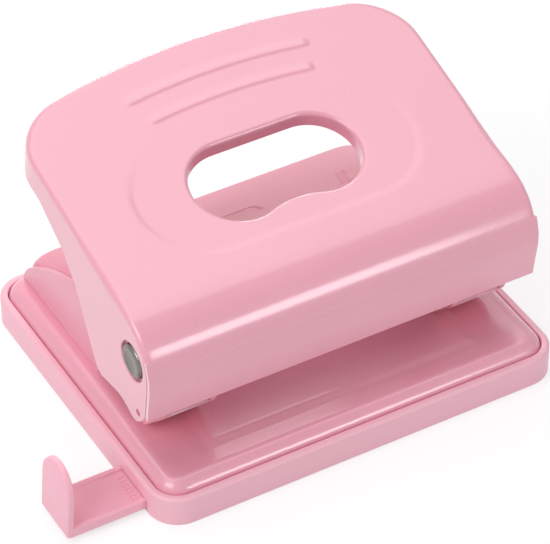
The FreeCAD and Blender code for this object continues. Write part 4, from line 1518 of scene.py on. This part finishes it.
# ------------------------------------------------------------------ rear hood
@dataclass
class RearHood:
    """Domed cover behind the punches: a sloping top with pressed marks, a round knee and rounded ends."""

    sheet: float = 0.8
    half: float = 46.0
    crest_y: float = 5.0
    crest_z: float = 35.6
    knee_radius: float = 10.0
    foot_y: float = 41.2
    knee_z: float = 11.4
    base_z: float = 10.5
    edge_start: float = 39.35
    edge_radius: float = 4.0
    end_width: float = 6.5
    end_drop: float = 2.0
    rib: tuple[tuple[float, float], ...] = (
        (-9.0, 16.1), (-5.0, 16.2), (1.7, 16.2), (3.4, 15.9), (4.2, 14.9), (4.1, 12.4))
    rib_height: float = 0.42
    rib_width: float = 0.5
    tick: tuple[tuple[float, float], ...] = ((26.0, 8.6), (29.4, 17.8))
    tick_gap: float = 0.75
    tick_depth: float = 0.34
    tick_width: float = 0.35
    panel: tuple[float, float, float, float] = (30.6, 41.0, 12.0, 23.6)
    panel_corner: float = 3.0
    panel_height: float = 0.12
    flange_depth: float = 7.0
    flange_width: float = 66.0
    foot_clear_x: tuple[float, float] = (35.7, 50.0)
    foot_clear: tuple[float, float] = (36.3, 12.3)

    def line(self, inset: float) -> Array:
        """Side view of the skin at an inset: sloping line, knee arc, then straight down.

        Args:
            inset: distance in from the outer skin.

        Returns:
            A (n, 2) array of Y and Z, from the front crest to the foot.
        """
        centre = np.array([self.foot_y - self.knee_radius, self.knee_z])
        span = np.array([self.crest_y, self.crest_z]) - centre
        heading = np.degrees(np.arctan2(span[1], span[0]))
        lean = heading - np.degrees(np.arccos(self.knee_radius / np.hypot(*span)))
        out = np.array([np.cos(np.radians(lean)), np.sin(np.radians(lean))])
        radius = self.knee_radius - inset
        touch = centre + out * radius
        ahead = np.array([-out[1], out[0]])
        front = touch + ahead * (self.crest_y - touch[0]) / ahead[0]
        slope = front + np.linspace(0.0, 1.0, 96)[:, None] * (touch - front)
        knee = arc_points(centre, radius, lean, 0.0, 22)
        overhang = max(self.foot_y - inset - self.edge_start, 0.0)
        foot = self.base_z - self.edge_radius + np.sqrt(self.edge_radius ** 2 - overhang ** 2)
        drop = np.column_stack([np.full(6, centre[0] + radius), np.linspace(self.knee_z, foot, 6)])
        return np.vstack([slope, knee[1:], drop[1:]])

    def build(self, finishes: Finishes) -> None:
        """Make the skin, its rounded ends and end walls, give it its sheet, and add its flange.

        Args:
            finishes: the punch's finishes.
        """
        turns = np.radians(np.linspace(90.0, 0.0, 11))
        ends = [(self.half - self.end_width * (1 - np.sin(turn)), self.end_drop * (1 - np.cos(turn)))
                for turn in turns]
        flat = np.linspace(self.half - self.end_width, 0.0, 116)[1:]
        half_rows = [(x, self.line(inset)) for x, inset in ends] + [(x, self.line(0.0)) for x in flat]
        rows = [np.column_stack([np.full(len(line), x), line]) for x, line in half_rows]
        wall = rows[0]
        level = wall.copy()
        level[:, 1] = wall[0, 1] + running_fraction(wall[:, 1:]) * (wall[-1, 1] - wall[0, 1])
        level[:, 2] = self.base_z
        fall = [level + (wall - level) * share for share in np.linspace(0.0, 1.0, 8)[:-1]]
        right = np.stack(fall + rows)
        left = right * MIRROR
        for grid in (right, left):
            grid[..., 2] += self.marks(grid)
        hood = Draft().grid(right, flip=True).grid(left).build("hood_skin")
        # painted shade: the hood takes the darker satin enamel
        give_materials(hood, finishes.satin, finishes.cut_edge)
        # painted highlight: thickening puts the hood's cut rims on the lighter edge enamel
        thicken(hood, self.sheet, 1)
        room = rectangle((0.0, 9.0), self.foot_clear)
        carve(hood, [closed_prism("hood_clear", room, side.span(*self.foot_clear_x)) for side in Side])
        shade(hood, 36.0)
        dress(hood, Body.CHASSIS, ["rear_hood"], "painted_sheet")
        # painted shade: the flange takes the hood's darker satin enamel
        dress(self.flange(), Body.CHASSIS, [], "painted_sheet", finishes.satin)

    def marks(self, grid: Array) -> Array:
        """Pressed marks on the hood's slope: a raised rib, a sunk double tick and a raised round panel.

        The rib and the ticks fall off as exp(-(distance / width)^2) from their polylines, and the panel
        is a smooth step over the distance inside its outline.

        Args:
            grid: the skin's points.

        Returns:
            The height to add to each point.
        """
        x, y = grid[..., 0], grid[..., 1]
        height = self.rib_height * np.exp(-(self.line_distance(x, y, self.rib) / self.rib_width) ** 2)
        for shift in (-self.tick_gap, self.tick_gap):
            tick = [(px + shift, py) for px, py in self.tick]
            height -= self.tick_depth * np.exp(-(self.line_distance(x, y, tick) / self.tick_width) ** 2)
        x0, x1, y0, y1 = self.panel
        bend = self.panel_corner
        edge = np.hypot(np.maximum(np.maximum(x0 + bend - x, x - x1 + bend), 0.0),
                        np.maximum(np.maximum(y0 + bend - y, y - y1 + bend), 0.0)) - bend
        return height + self.panel_height * smooth_step(-0.5, 0.5, -edge)

    @staticmethod
    def line_distance(x: Array, y: Array, line: Sequence[tuple[float, float]]) -> Array:
        """Distance in plan from points to the nearest stretch of a polyline.

        Args:
            x: the points' X.
            y: the points' Y.
            line: the polyline's (X, Y) corners.

        Returns:
            The distances.
        """
        best = np.full(x.shape, np.inf)
        for (ax, ay), (bx, by) in zip(line[:-1], line[1:]):
            run_x, run_y = bx - ax, by - ay
            along = np.clip(((x - ax) * run_x + (y - ay) * run_y) / (run_x ** 2 + run_y ** 2), 0, 1)
            best = np.minimum(best, np.hypot(x - ax - along * run_x, y - ay - along * run_y))
        return best

    def flange(self) -> bpy.types.Object:
        """Flange turned inwards under the hood, which the rivets hold.

        Returns:
            The flange.
        """
        outline = rectangle((self.foot_y - self.sheet - self.flange_depth, self.base_z),
                            (self.foot_y - self.sheet * 0.6, self.base_z + self.sheet))
        half = self.flange_width / 2
        piece = closed_prism("hood_flange", outline, (-half, half))
        soften(piece, 0.2)
        shade(piece)
        return piece


# ------------------------------------------------------------------ punch frames
@dataclass
class PunchFrame:
    """Folded frame: two cheeks round the pivot, a jaw with a lead-in lip, a guide web and a foot."""

    side: Side
    sheet: float = 1.5
    inner_x: float = 32.5
    outer_x: float = 47.5
    base_z: float = 10.5
    stop_y: float = 0.9
    foot_y: float = 41.2
    jaw_z: float = 12.5
    jaw_front_y: float = -22.5
    lip: tuple[float, float] = (-29.8, 19.6)
    nose_z: float = 27.0
    nose_inward: float = 1.35
    lobe_radius: float = 6.5
    crest: tuple[float, float] = (11.0, 30.0)
    brow: tuple[float, float] = (25.2, 24.1)
    knee: tuple[float, float] = (35.6, 17.6)
    heel_bend: tuple[float, float] = (39.2, 14.2)
    inner_rear: float = 14.0
    flange_width: float = 10.0
    flange_rear: float = 36.0
    web: tuple[tuple[float, float], ...] = ((-18.1, 28.5), (-3.9, 30.0))
    punch: tuple[float, float] = (40.0, -11.1)
    punch_bore: float = 2.8
    punch_bore_ends: tuple[float, float] = (9.0, 60.0)
    pivot_bore: float = 2.55
    pivot_bore_ends: tuple[float, float] = (30.0, 50.0)
    slope: float = 15.0
    splay: float = 7.6
    skirt_distance: float = 8.7

    def outline(self, rear: float | None = None) -> Array:
        """Cheek's outline: foot, two arcs up to the crest, tangent line to the lobe, nose and jaw.

        Args:
            rear: where the cheek is cut off behind, or None for the whole cheek.

        Returns:
            A (n, 2) array of Y and Z.
        """
        lobe = pivot_point(self.side)[1:]
        span = np.array(self.crest) - lobe
        touch = np.degrees(np.arctan2(span[1], span[0]) + np.arccos(self.lobe_radius / np.hypot(*span)))
        lean = np.radians(self.slope - self.splay)
        nose_y = lobe[0] - (self.skirt_distance - self.nose_inward
                            - (lobe[1] - self.nose_z) * np.sin(lean)) / np.cos(lean)
        lower = arc_through((self.foot_y, self.base_z), self.heel_bend, self.knee, 16)
        upper = arc_through(self.knee, self.brow, self.crest, 40)
        whole = chain((self.stop_y, self.base_z), lower, upper,
                      arc_points(lobe, self.lobe_radius, touch, 180.0, 24), (nose_y, self.nose_z),
                      self.lip, (self.jaw_front_y, self.jaw_z), (self.stop_y, self.jaw_z))
        if rear is None:
            return whole
        brow = arc_through(self.knee, self.brow, self.crest, 400)
        height = np.interp(rear, brow[::-1, 0], brow[::-1, 1])
        kept = whole[whole[:, 0] < rear]
        return chain((self.stop_y, self.base_z), (rear, self.base_z), (rear, height), kept[1:])

    def sheets(self) -> list[bpy.types.Object]:
        """The frame's flat plates, each a closed prism.

        Returns:
            The plates, the outer cheek first.
        """
        thick = self.sheet
        rise = np.arctan2(self.lip[1] - self.jaw_z, self.jaw_front_y - self.lip[0])
        normal = np.array([np.sin(rise), np.cos(rise)]) * thick
        jaw = np.array([[self.stop_y + thick, self.jaw_z], [self.jaw_front_y, self.jaw_z], self.lip,
                        np.array(self.lip) + normal,
                        [self.jaw_front_y + thick * np.tan(rise / 2), self.jaw_z + thick],
                        [self.stop_y + thick, self.jaw_z + thick]])
        corner, foot_z = (self.stop_y, self.base_z), self.base_z + thick
        inner, outer = self.inner_x, self.outer_x
        parts = [("outer_cheek", self.outline(), outer - thick, outer),
                 ("inner_cheek", self.outline(self.inner_rear), inner, inner + thick),
                 ("jaw", jaw, inner, outer),
                 ("stop", rectangle(corner, (self.stop_y + thick, self.jaw_z + thick)), inner, outer),
                 ("web", rectangle(*self.web), inner, outer),
                 ("foot", rectangle(corner, (self.inner_rear, foot_z)), inner, outer),
                 ("flange", rectangle(corner, (self.flange_rear, foot_z)),
                  outer - thick - self.flange_width, outer)]
        return [closed_prism(name, outline, self.side.span(low, high)) for name, outline, low, high in parts]

    def build(self, finishes: Finishes) -> None:
        """Unite the plates, bore them for the pivot, score the punch's bore and soften the edges.

        Args:
            finishes: the punch's finishes.
        """
        frame = unite(self.sheets())
        x, y = self.side.value * self.punch[0], self.punch[1]
        carve(frame, [pin_cutter("punch_bore", self.punch_bore, (x, y, 0.0), Axis.Z, self.punch_bore_ends,
                                 outwards=False),
                      pin_cutter("pivot_bore", self.pivot_bore, pivot_point(self.side), Axis.X,
                                 self.side.span(*self.pivot_bore_ends))])
        soften(frame, 0.28, 48.0, 2)
        shade(frame, 34.0)
        frame.name = f"{self.side.word}_folded_frame"
        dress(frame, Body.CHASSIS, [f"{self.side.word}_frame"], "painted_sheet", finishes.dull)


def arc_through(start: Sequence[float], middle: Sequence[float], end: Sequence[float], count: int) -> Array:
    """Points on the circle through three points.

    Args:
        start: the first point.
        middle: a point between.
        end: the last point.
        count: how many points.

    Returns:
        A (count, 2) array.
    """
    a, b, c = (np.asarray(point, float) for point in (start, middle, end))
    rows = np.array([b - a, c - a]) * 2.0
    centre = np.linalg.solve(rows, np.array([b @ b - a @ a, c @ c - a @ a]))
    turns = np.degrees(np.unwrap([np.arctan2(*(point - centre)[::-1]) for point in (a, b, c)]))
    return arc_points(centre, float(np.linalg.norm(a - centre)), turns[0], turns[2], count)


# ------------------------------------------------------------------ turned and sprung parts
@dataclass
class PivotHardware:
    """Headed pin, spacer and retaining ring of one side's pivot."""

    side: Side
    shank: float = 2.5
    head_radius: float = 4.4
    head_height: float = 1.5
    head_seat: float = 51.5
    pin_end: float = 30.8
    spacer: tuple[float, float] = (47.6, 50.3)
    spacer_radius: float = 4.0
    ring_face: float = 32.4
    ring_thickness: float = 0.7
    groove: float = 0.65
    chamfer: float = 0.3
    fit: float = 0.05
    spacer_edges: tuple[float, float] = (0.15, 0.2)

    def turned(self, name: str, profile: Array) -> bpy.types.Object:
        """Piece turned about the pivot axis, mirrored to its side.

        Args:
            name: the object's name.
            profile: (n, 2) of radius and distance from the middle plane.

        Returns:
            The object.
        """
        line = profile * np.array([1.0, self.side.value])
        grid = lathe(line, pivot_point(self.side), Axis.X, 72)
        closed = np.allclose(profile[0], profile[-1])
        if closed:
            grid = grid[:-1]
        return Draft().grid(grid, wrap_rows=closed, wrap_columns=True,
                            flip=self.side is Side.RIGHT).build(f"{self.side.word}_{name}")

    def build(self, finishes: Finishes) -> None:
        """Turn the pin, the spacer and the ring.

        The head is a shallow dome with a raised rim and a dished middle.

        Args:
            finishes: the punch's finishes.
        """
        seat, top = self.head_seat, self.head_seat + self.head_height
        groove_out, groove_in = self.ring_face + self.fit, self.ring_face - self.ring_thickness - 0.1
        dome = np.column_stack([np.linspace(3.5, 2.7, 5), top - 0.02 - 0.1 * np.linspace(0, 1, 5) ** 2])
        dish = np.column_stack([np.linspace(2.5, 0.0, 10), top - 0.2 - 0.22 * np.linspace(0, 1, 10) ** 0.7])
        head = chain((self.head_radius - 0.1, seat), (self.head_radius, seat + 0.1),
                     arc_points((self.head_radius - 0.8, seat + 0.55), 0.8, 0, 70, 8), dome, dish)
        head[:, 1] = np.minimum(head[:, 1], top)
        shank, core, end = self.shank, self.shank - self.groove, self.pin_end
        profile = chain((0.0, end), (shank - self.chamfer, end), (shank, end + self.chamfer),
                        (shank, groove_in), (core, groove_in), (core, groove_out), (shank, groove_out),
                        (shank, seat), head)
        inner, outer = self.spacer
        bore, wide = self.shank + self.fit, self.spacer_radius
        mouth, brim = self.spacer_edges
        tube = chain((bore, inner + mouth), (bore + mouth, inner), (wide - brim, inner),
                     (wide, inner + brim), (wide, outer - brim), (wide - brim, outer),
                     (bore + mouth, outer), (bore, outer - mouth), (bore, inner + mouth))
        word = self.side.word
        for name, outline, node in (("headed_pin", profile, "pivot_pin"), ("spacer", tube, "pivot_spacer")):
            piece = self.turned(name, outline)
            shade(piece, 30.0)
            dress(piece, Body.CHASSIS, [f"{word}_{node}"], "plated_steel", finishes.plated)
        face = self.side.value * (self.ring_face - self.ring_thickness / 2)
        ring = snap_ring(f"{word}_pivot_clip", pivot_point(self.side) + [face, 0, 0], Axis.X,
                         self.ring_thickness)
        dress(ring, Body.CHASSIS, [f"{word}_pivot_ring"], "spring_steel", finishes.spring)


def snap_ring(name: str, centre: Array, axis: Axis, thickness: float, outer: float = 4.6,
              inner: float = 2.15, scallop: float = 0.85) -> bpy.types.Object:
    """Open retaining clip: a flat ring with a parallel mouth towards +Y and two hollows between its lugs.

    At angle t the ring runs from inner + scallop * hollow(t) to outer, and at each radius r it stops
    where the mouth's half width meets it, at asin(half width / r) from +Y.

    Args:
        name: the object's name.
        centre: the middle of its thickness.
        axis: the axis that it sits on.
        thickness: its thickness.
        outer: its outer radius.
        inner: the radius that its lugs touch.
        scallop: how much further out the hollows reach.

    Returns:
        The clip.
    """
    mouth = inner * np.sqrt(0.5)
    share = np.linspace(0.0, 1.0, 97)
    low, high = np.array([-0.5, 0.5]) * thickness
    section = [(0.0, low), (0.06, low), (0.94, low), (1.0, low + 0.1),
               (1.0, high - 0.1), (0.94, high), (0.06, high), (0.0, high)]
    first, second = (np.sin(np.clip((share - start) / 0.33, 0, 1) * np.pi) for start in (0.12, 0.55))
    root = inner + scallop * np.clip(first + second, 0.0, 1.0) ** 0.7
    rows = []
    for part, level in section:
        radius = root + (outer - root) * part
        gap = np.arcsin(mouth / radius)
        angle = np.pi / 2 + gap + share * (2.0 * np.pi - 2.0 * gap)
        rows.append(np.stack([radius * np.cos(angle), radius * np.sin(angle), np.full_like(angle, level)],
                             axis=-1))
    grid = np.stack(rows)
    if axis is Axis.X:
        grid = np.stack([grid[..., 2], grid[..., 1], -grid[..., 0]], axis=-1)
    grid = grid + centre
    draft = Draft().grid(grid, wrap_rows=True)
    for column, flip in ((0, False), (-1, True)):
        draft.grid(np.stack([grid[:4, column], grid[:3:-1, column]]), flip=flip)
    clip = draft.build(name)
    turn_outwards(clip)
    shade(clip, 30.0)
    return clip


@dataclass
class PunchSet:
    """Punch, retaining clip, spring and die of one side."""

    side: Side
    x: float = 40.0
    y: float = -11.1
    radius: float = 2.75
    tip: float = 13.2
    crown: float = 53.21
    crown_radius: float = 4.0
    saddle: float = 6.0
    ring_under: float = 47.61
    ring_thickness: float = 0.7
    groove: float = 0.65
    fit: float = 0.05
    spring_low: float = 30.1
    spring_high: float = 47.5
    spring_radius: float = 3.85
    wire: float = 0.9
    turns: float = 6.0
    travel: float = 7.3
    die_radius: float = 4.5
    die_flange: float = 6.5
    die_bore: float = 2.85
    die_low: float = 8.0
    die_seat: float = 9.5
    die_top: float = 10.5
    die_edges: tuple[float, float, float] = (0.2, 0.12, 0.1)

    @property
    def centre(self) -> tuple[float, float, float]:
        """Point of the punch's axis at height 0."""
        return (self.side.value * self.x, self.y, 0.0)

    def build(self, finishes: Finishes) -> None:
        """Make the four pieces.

        Args:
            finishes: the punch's finishes.
        """
        word = self.side.word
        dress(self.punch(), self.side.cutter, [f"{word}_punch"], "tool_steel", finishes.ground)
        level = self.ring_under + self.ring_thickness / 2
        ring = snap_ring(f"{word}_punch_clip", np.array(self.centre) + [0, 0, level], Axis.Z,
                         self.ring_thickness)
        dress(ring, self.side.cutter, [f"{word}_punch_ring"], "spring_steel", finishes.spring)
        spring = self.spring()
        dress(spring, Body.CHASSIS, [f"{word}_punch_spring"], "spring_steel", finishes.spring)
        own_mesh(spring)
        dress(self.die(), Body.CHASSIS, [f"{word}_die_bush"], "tool_steel", finishes.ground)

    def punch(self) -> bpy.types.Object:
        """Punch: a saddle-ground tip whose height is a cylinder's across Y, a groove and a round crown.

        Returns:
            The punch.
        """
        rings = np.linspace(0.0, self.radius, 9)
        drop = np.sqrt(self.saddle ** 2 - self.radius ** 2)
        groove_low, groove_high = self.ring_under - self.fit, self.ring_under + self.ring_thickness + self.fit
        inner = self.radius - self.groove
        shoulder = self.crown - self.crown_radius + np.sqrt(self.crown_radius ** 2 - self.radius ** 2)
        lean = np.degrees(np.arccos(self.radius / self.crown_radius))
        dome = arc_points((0.0, self.crown - self.crown_radius), self.crown_radius, lean, 90.0, 12)
        tip = np.column_stack([rings, np.full(9, self.tip)])
        body = chain((self.radius, self.tip + 1.0), (self.radius, groove_low), (inner, groove_low),
                     (inner, groove_high), (self.radius, groove_high), (self.radius, shoulder), dome)
        grid = lathe(np.vstack([tip, body]), self.centre, Axis.Z, 64)
        across = grid[:9, :, 1] - self.y
        grid[:9, :, 2] = self.tip - drop + np.sqrt(self.saddle ** 2 - across ** 2)
        piece = Draft().grid(grid, wrap_columns=True, flip=True).build(f"{self.side.word}_ground_punch")
        shade(piece, 30.0)
        return piece

    def spring(self) -> bpy.types.Object:
        """Closed-end coil: height rises slowly over the end turns and evenly between them.

        Returns:
            The spring.
        """
        turn = np.linspace(0.0, self.turns, int(self.turns * 44) + 1)
        low, high = self.spring_low + self.wire / 2, self.spring_high - self.wire / 2
        pitch = (high - low - 2.0 * self.wire) / (self.turns - 2.0)
        rise = np.where(turn < 1.0, self.wire * turn, self.wire + pitch * (turn - 1.0))
        rise = np.where(turn > self.turns - 1.0, high - low - self.wire * (self.turns - turn), rise)
        rise = np.convolve(np.pad(rise, 8, mode="edge"), np.ones(17) / 17.0, mode="valid")
        rise = (rise - rise[0]) * (high - low) / (rise[-1] - rise[0])
        angle = 2.0 * np.pi * turn
        out = np.column_stack([np.cos(angle), np.sin(angle), np.zeros_like(angle)])
        path = out * self.spring_radius + np.column_stack([np.zeros((len(turn), 2)), low + rise])
        section = np.radians(np.linspace(0.0, 360.0, 14, endpoint=False))
        radius = np.concatenate([[0.0], np.full(len(turn), self.wire / 2), [0.0]])
        path = np.vstack([path[:1], path, path[-1:]])
        out = np.vstack([out[:1], out, out[-1:]])
        ring = (out[:, None, :] * np.cos(section)[None, :, None]
                + np.array([0.0, 0.0, 1.0]) * np.sin(section)[None, :, None])
        grid = path[:, None, :] + ring * radius[:, None, None] + np.array(self.centre)
        piece = Draft().grid(grid, wrap_columns=True).build(f"{self.side.word}_coil_spring")
        turn_outwards(piece)
        shade(piece, 50.0)
        return piece

    def die(self) -> bpy.types.Object:
        """Die bush: a flanged ring with a chamfered bore, flush with the plate.

        Returns:
            The bush.
        """
        foot, brim, mouth = self.die_edges
        profile = chain((self.die_bore, self.die_low), (self.die_flange - foot, self.die_low),
                        (self.die_flange, self.die_low + foot), (self.die_flange, self.die_seat),
                        (self.die_radius, self.die_seat), (self.die_radius, self.die_top - brim),
                        (self.die_radius - brim, self.die_top), (self.die_bore + mouth, self.die_top),
                        (self.die_bore, self.die_top - mouth))
        grid = lathe(profile, self.centre, Axis.Z, 64)
        piece = Draft().grid(grid, wrap_rows=True, wrap_columns=True).build(f"{self.side.word}_die")
        turn_outwards(piece)
        shade(piece, 30.0)
        return piece


@dataclass
class Rivets:
    """Round-headed rivets that hold the frames and the hood to the base plate."""

    shank: float = 1.5
    head: float = 2.7
    height: float = 0.9
    underside: float = 9.5
    frame_clamp: float = 12.0
    hood_clamp: float = 11.3
    frame_places: tuple[tuple[float, float], ...] = ((40.0, 8.0), (41.0, 30.0))
    hood_place: float = 20.0

    def rivet(self, draft: Draft, x: float, y: float, clamp: float) -> None:
        """Add one rivet: a shank between two shallow domes.

        Args:
            draft: the mesh in the making.
            x: its place along X.
            y: its place along Y.
            clamp: the height of what it holds.
        """
        crown = self.height / 2 + self.head ** 2 / (2 * self.height)
        sweep = np.degrees(np.arcsin(self.head / crown))
        upper = arc_points((0.0, clamp + self.height - crown), crown, 90.0 - sweep, 90.0, 9)
        lower = arc_points((0.0, self.underside - self.height + crown), crown, 270.0, 270.0 + sweep, 9)
        profile = chain(lower, (self.head, self.underside), (self.shank, self.underside),
                        (self.shank, clamp), (self.head, clamp), upper)
        profile[[0, -1], 0] = 0.0
        draft.grid(lathe(profile, (x, y, 0.0), Axis.Z, 32), wrap_columns=True, flip=True)

    def build(self, finishes: Finishes) -> None:
        """Make the two rivet sets.

        Args:
            finishes: the punch's finishes.
        """
        frames, hood = Draft(), Draft()
        middle = float(node_box("hood_rivets")[:, 1].mean())
        for side in Side:
            for x, y in self.frame_places:
                self.rivet(frames, side.value * x, y, self.frame_clamp)
            self.rivet(hood, side.value * self.hood_place, middle, self.hood_clamp)
        for draft, name, node in ((frames, "frame_rivet_set", "frame_rivets"),
                                  (hood, "hood_rivet_set", "hood_rivets")):
            piece = draft.build(name)
            turn_outwards(piece)
            shade(piece, 30.0)
            dress(piece, Body.CHASSIS, [node], "plated_steel", finishes.plated)


# ------------------------------------------------------------------ studio
@dataclass(frozen=True)
class Lamp:
    """A rectangular soft lamp that faces a point; places and sizes are in metres, power in watts."""

    name: str
    spot: tuple[float, float, float]
    target: tuple[float, float, float]
    size: tuple[float, float]
    power: float

    def hang(self) -> None:
        """Add the lamp, with its width level."""
        data = bpy.data.lights.new(self.name, "AREA")
        data.shape = "RECTANGLE"
        data.size, data.size_y = self.size
        data.energy = self.power
        away = np.subtract(self.spot, self.target)
        away /= np.linalg.norm(away)
        side = np.cross([0.0, 0.0, 1.0], away)
        side /= np.linalg.norm(side)
        turn_to(add_object(self.name, data), side, np.cross(away, side), away, self.spot)


def turn_to(made: bpy.types.Object, right: Array, up: Array, back: Array, spot: Sequence[float]) -> None:
    """Place and turn a lamp or camera.

    Args:
        made: the object.
        right: the direction of its own X.
        up: the direction of its own Y.
        back: the direction of its own Z.
        spot: its place in metres.
    """
    matrix = np.eye(4)
    matrix[:3] = np.column_stack([right, up, back, spot])
    made.matrix_world = Matrix(matrix.tolist())


@dataclass
class Studio:
    """Pale sweep, soft lamps and the camera."""

    azimuth: float = -29.872
    elevation: float = 40.757
    distance: float = 800.2
    shift: tuple[float, float] = (-0.632, -17.084)
    focal_pixels: float = 3240.0
    frame_pixels: float = 550.0
    sensor: float = 36.0
    clip: tuple[float, float] = (0.05, 20.0)
    sky: float = 0.31
    floor_reach: float = 1500.0
    floor_sink: float = 0.02
    lamps: tuple[Lamp, ...] = (
        Lamp("key_left", (-0.72, -0.2, 0.66), (0.0, 0.0, 0.03), (0.6, 0.5), 3.9),
        Lamp("top", (0.0, 0.3, 0.86), (0.0, 0.0, 0.04), (1.05, 0.8), 4.3),
        Lamp("bend_box", (0.3, -0.79, 0.285), (0.0, -0.03, 0.05), (0.2, 0.22), 1.2),
        Lamp("rim_box", (0.34, 0.78, 0.31), (0.0, 0.0, 0.04), (0.3, 0.1), 1.6))

    def axes(self) -> tuple[Array, Array, Array]:
        """Camera's right, up and forward directions.

        Returns:
            Three unit vectors.
        """
        turn, lift = np.radians(self.azimuth), np.radians(self.elevation)
        forward = np.array([-np.sin(turn) * np.cos(lift), np.cos(turn) * np.cos(lift), -np.sin(lift)])
        right = np.array([np.cos(turn), np.sin(turn), 0.0])
        return right, np.cross(right, forward), forward

    def camera(self) -> None:
        """Place the camera."""
        right, up, forward = self.axes()
        spot = -(right * self.shift[0] + up * self.shift[1] + forward * self.distance)
        data = bpy.data.cameras.new("camera")
        data.sensor_width = self.sensor
        data.lens = self.focal_pixels / self.frame_pixels * self.sensor
        data.clip_start, data.clip_end = self.clip
        camera = add_object("camera", data)
        turn_to(camera, right, up, -forward, spot * MM)
        bpy.context.scene.camera = camera

    def world(self) -> None:
        """Light the world evenly, and show it white to the eye and to reflections."""
        world = bpy.data.worlds.new("studio_air")
        world.use_nodes = True
        recipe = Recipe("studio_air", world.node_tree)
        lighting = recipe.backdrop_rays().below(0.5, 0.1)
        light = recipe.node("ShaderNodeBackground", inputs={"Strength": lighting * (self.sky - 1.0) + 1.0})
        recipe.node("ShaderNodeOutputWorld", inputs={"Surface": light.outputs[0]})
        bpy.context.scene.world = world

    def floor(self) -> None:
        """Lay the pale sweep under the tray."""
        reach = np.linspace(-self.floor_reach, self.floor_reach, 13)
        x, y = np.meshgrid(reach, reach, indexing="ij")
        sweep = Draft().grid(np.stack([x, y, np.full_like(x, -self.floor_sink)], axis=-1)).build("pale_sweep")
        give_materials(sweep, PaleSweep().material())

    def build(self) -> None:
        """Set up the whole studio."""
        bpy.context.scene.view_settings.view_transform = "Standard"
        self.world()
        self.floor()
        self.camera()
        for lamp in self.lamps:
            lamp.hang()


def main() -> None:
    """Build the punch piece by piece on its frame."""
    logging.basicConfig(level=logging.INFO, format="%(name)s: %(message)s")
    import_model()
    Studio().build()
    finishes = Finishes.mix()
    for assembly in (ChipTray, PaperGuide, BasePlate, RearHood, Lever):
        assembly().build(finishes)
    for side in Side:
        for assembly in (PunchFrame, PunchSet, PivotHardware):
            assembly(side).build(finishes)
    Rivets().build(finishes)


if __name__ == "__main__":
    main()
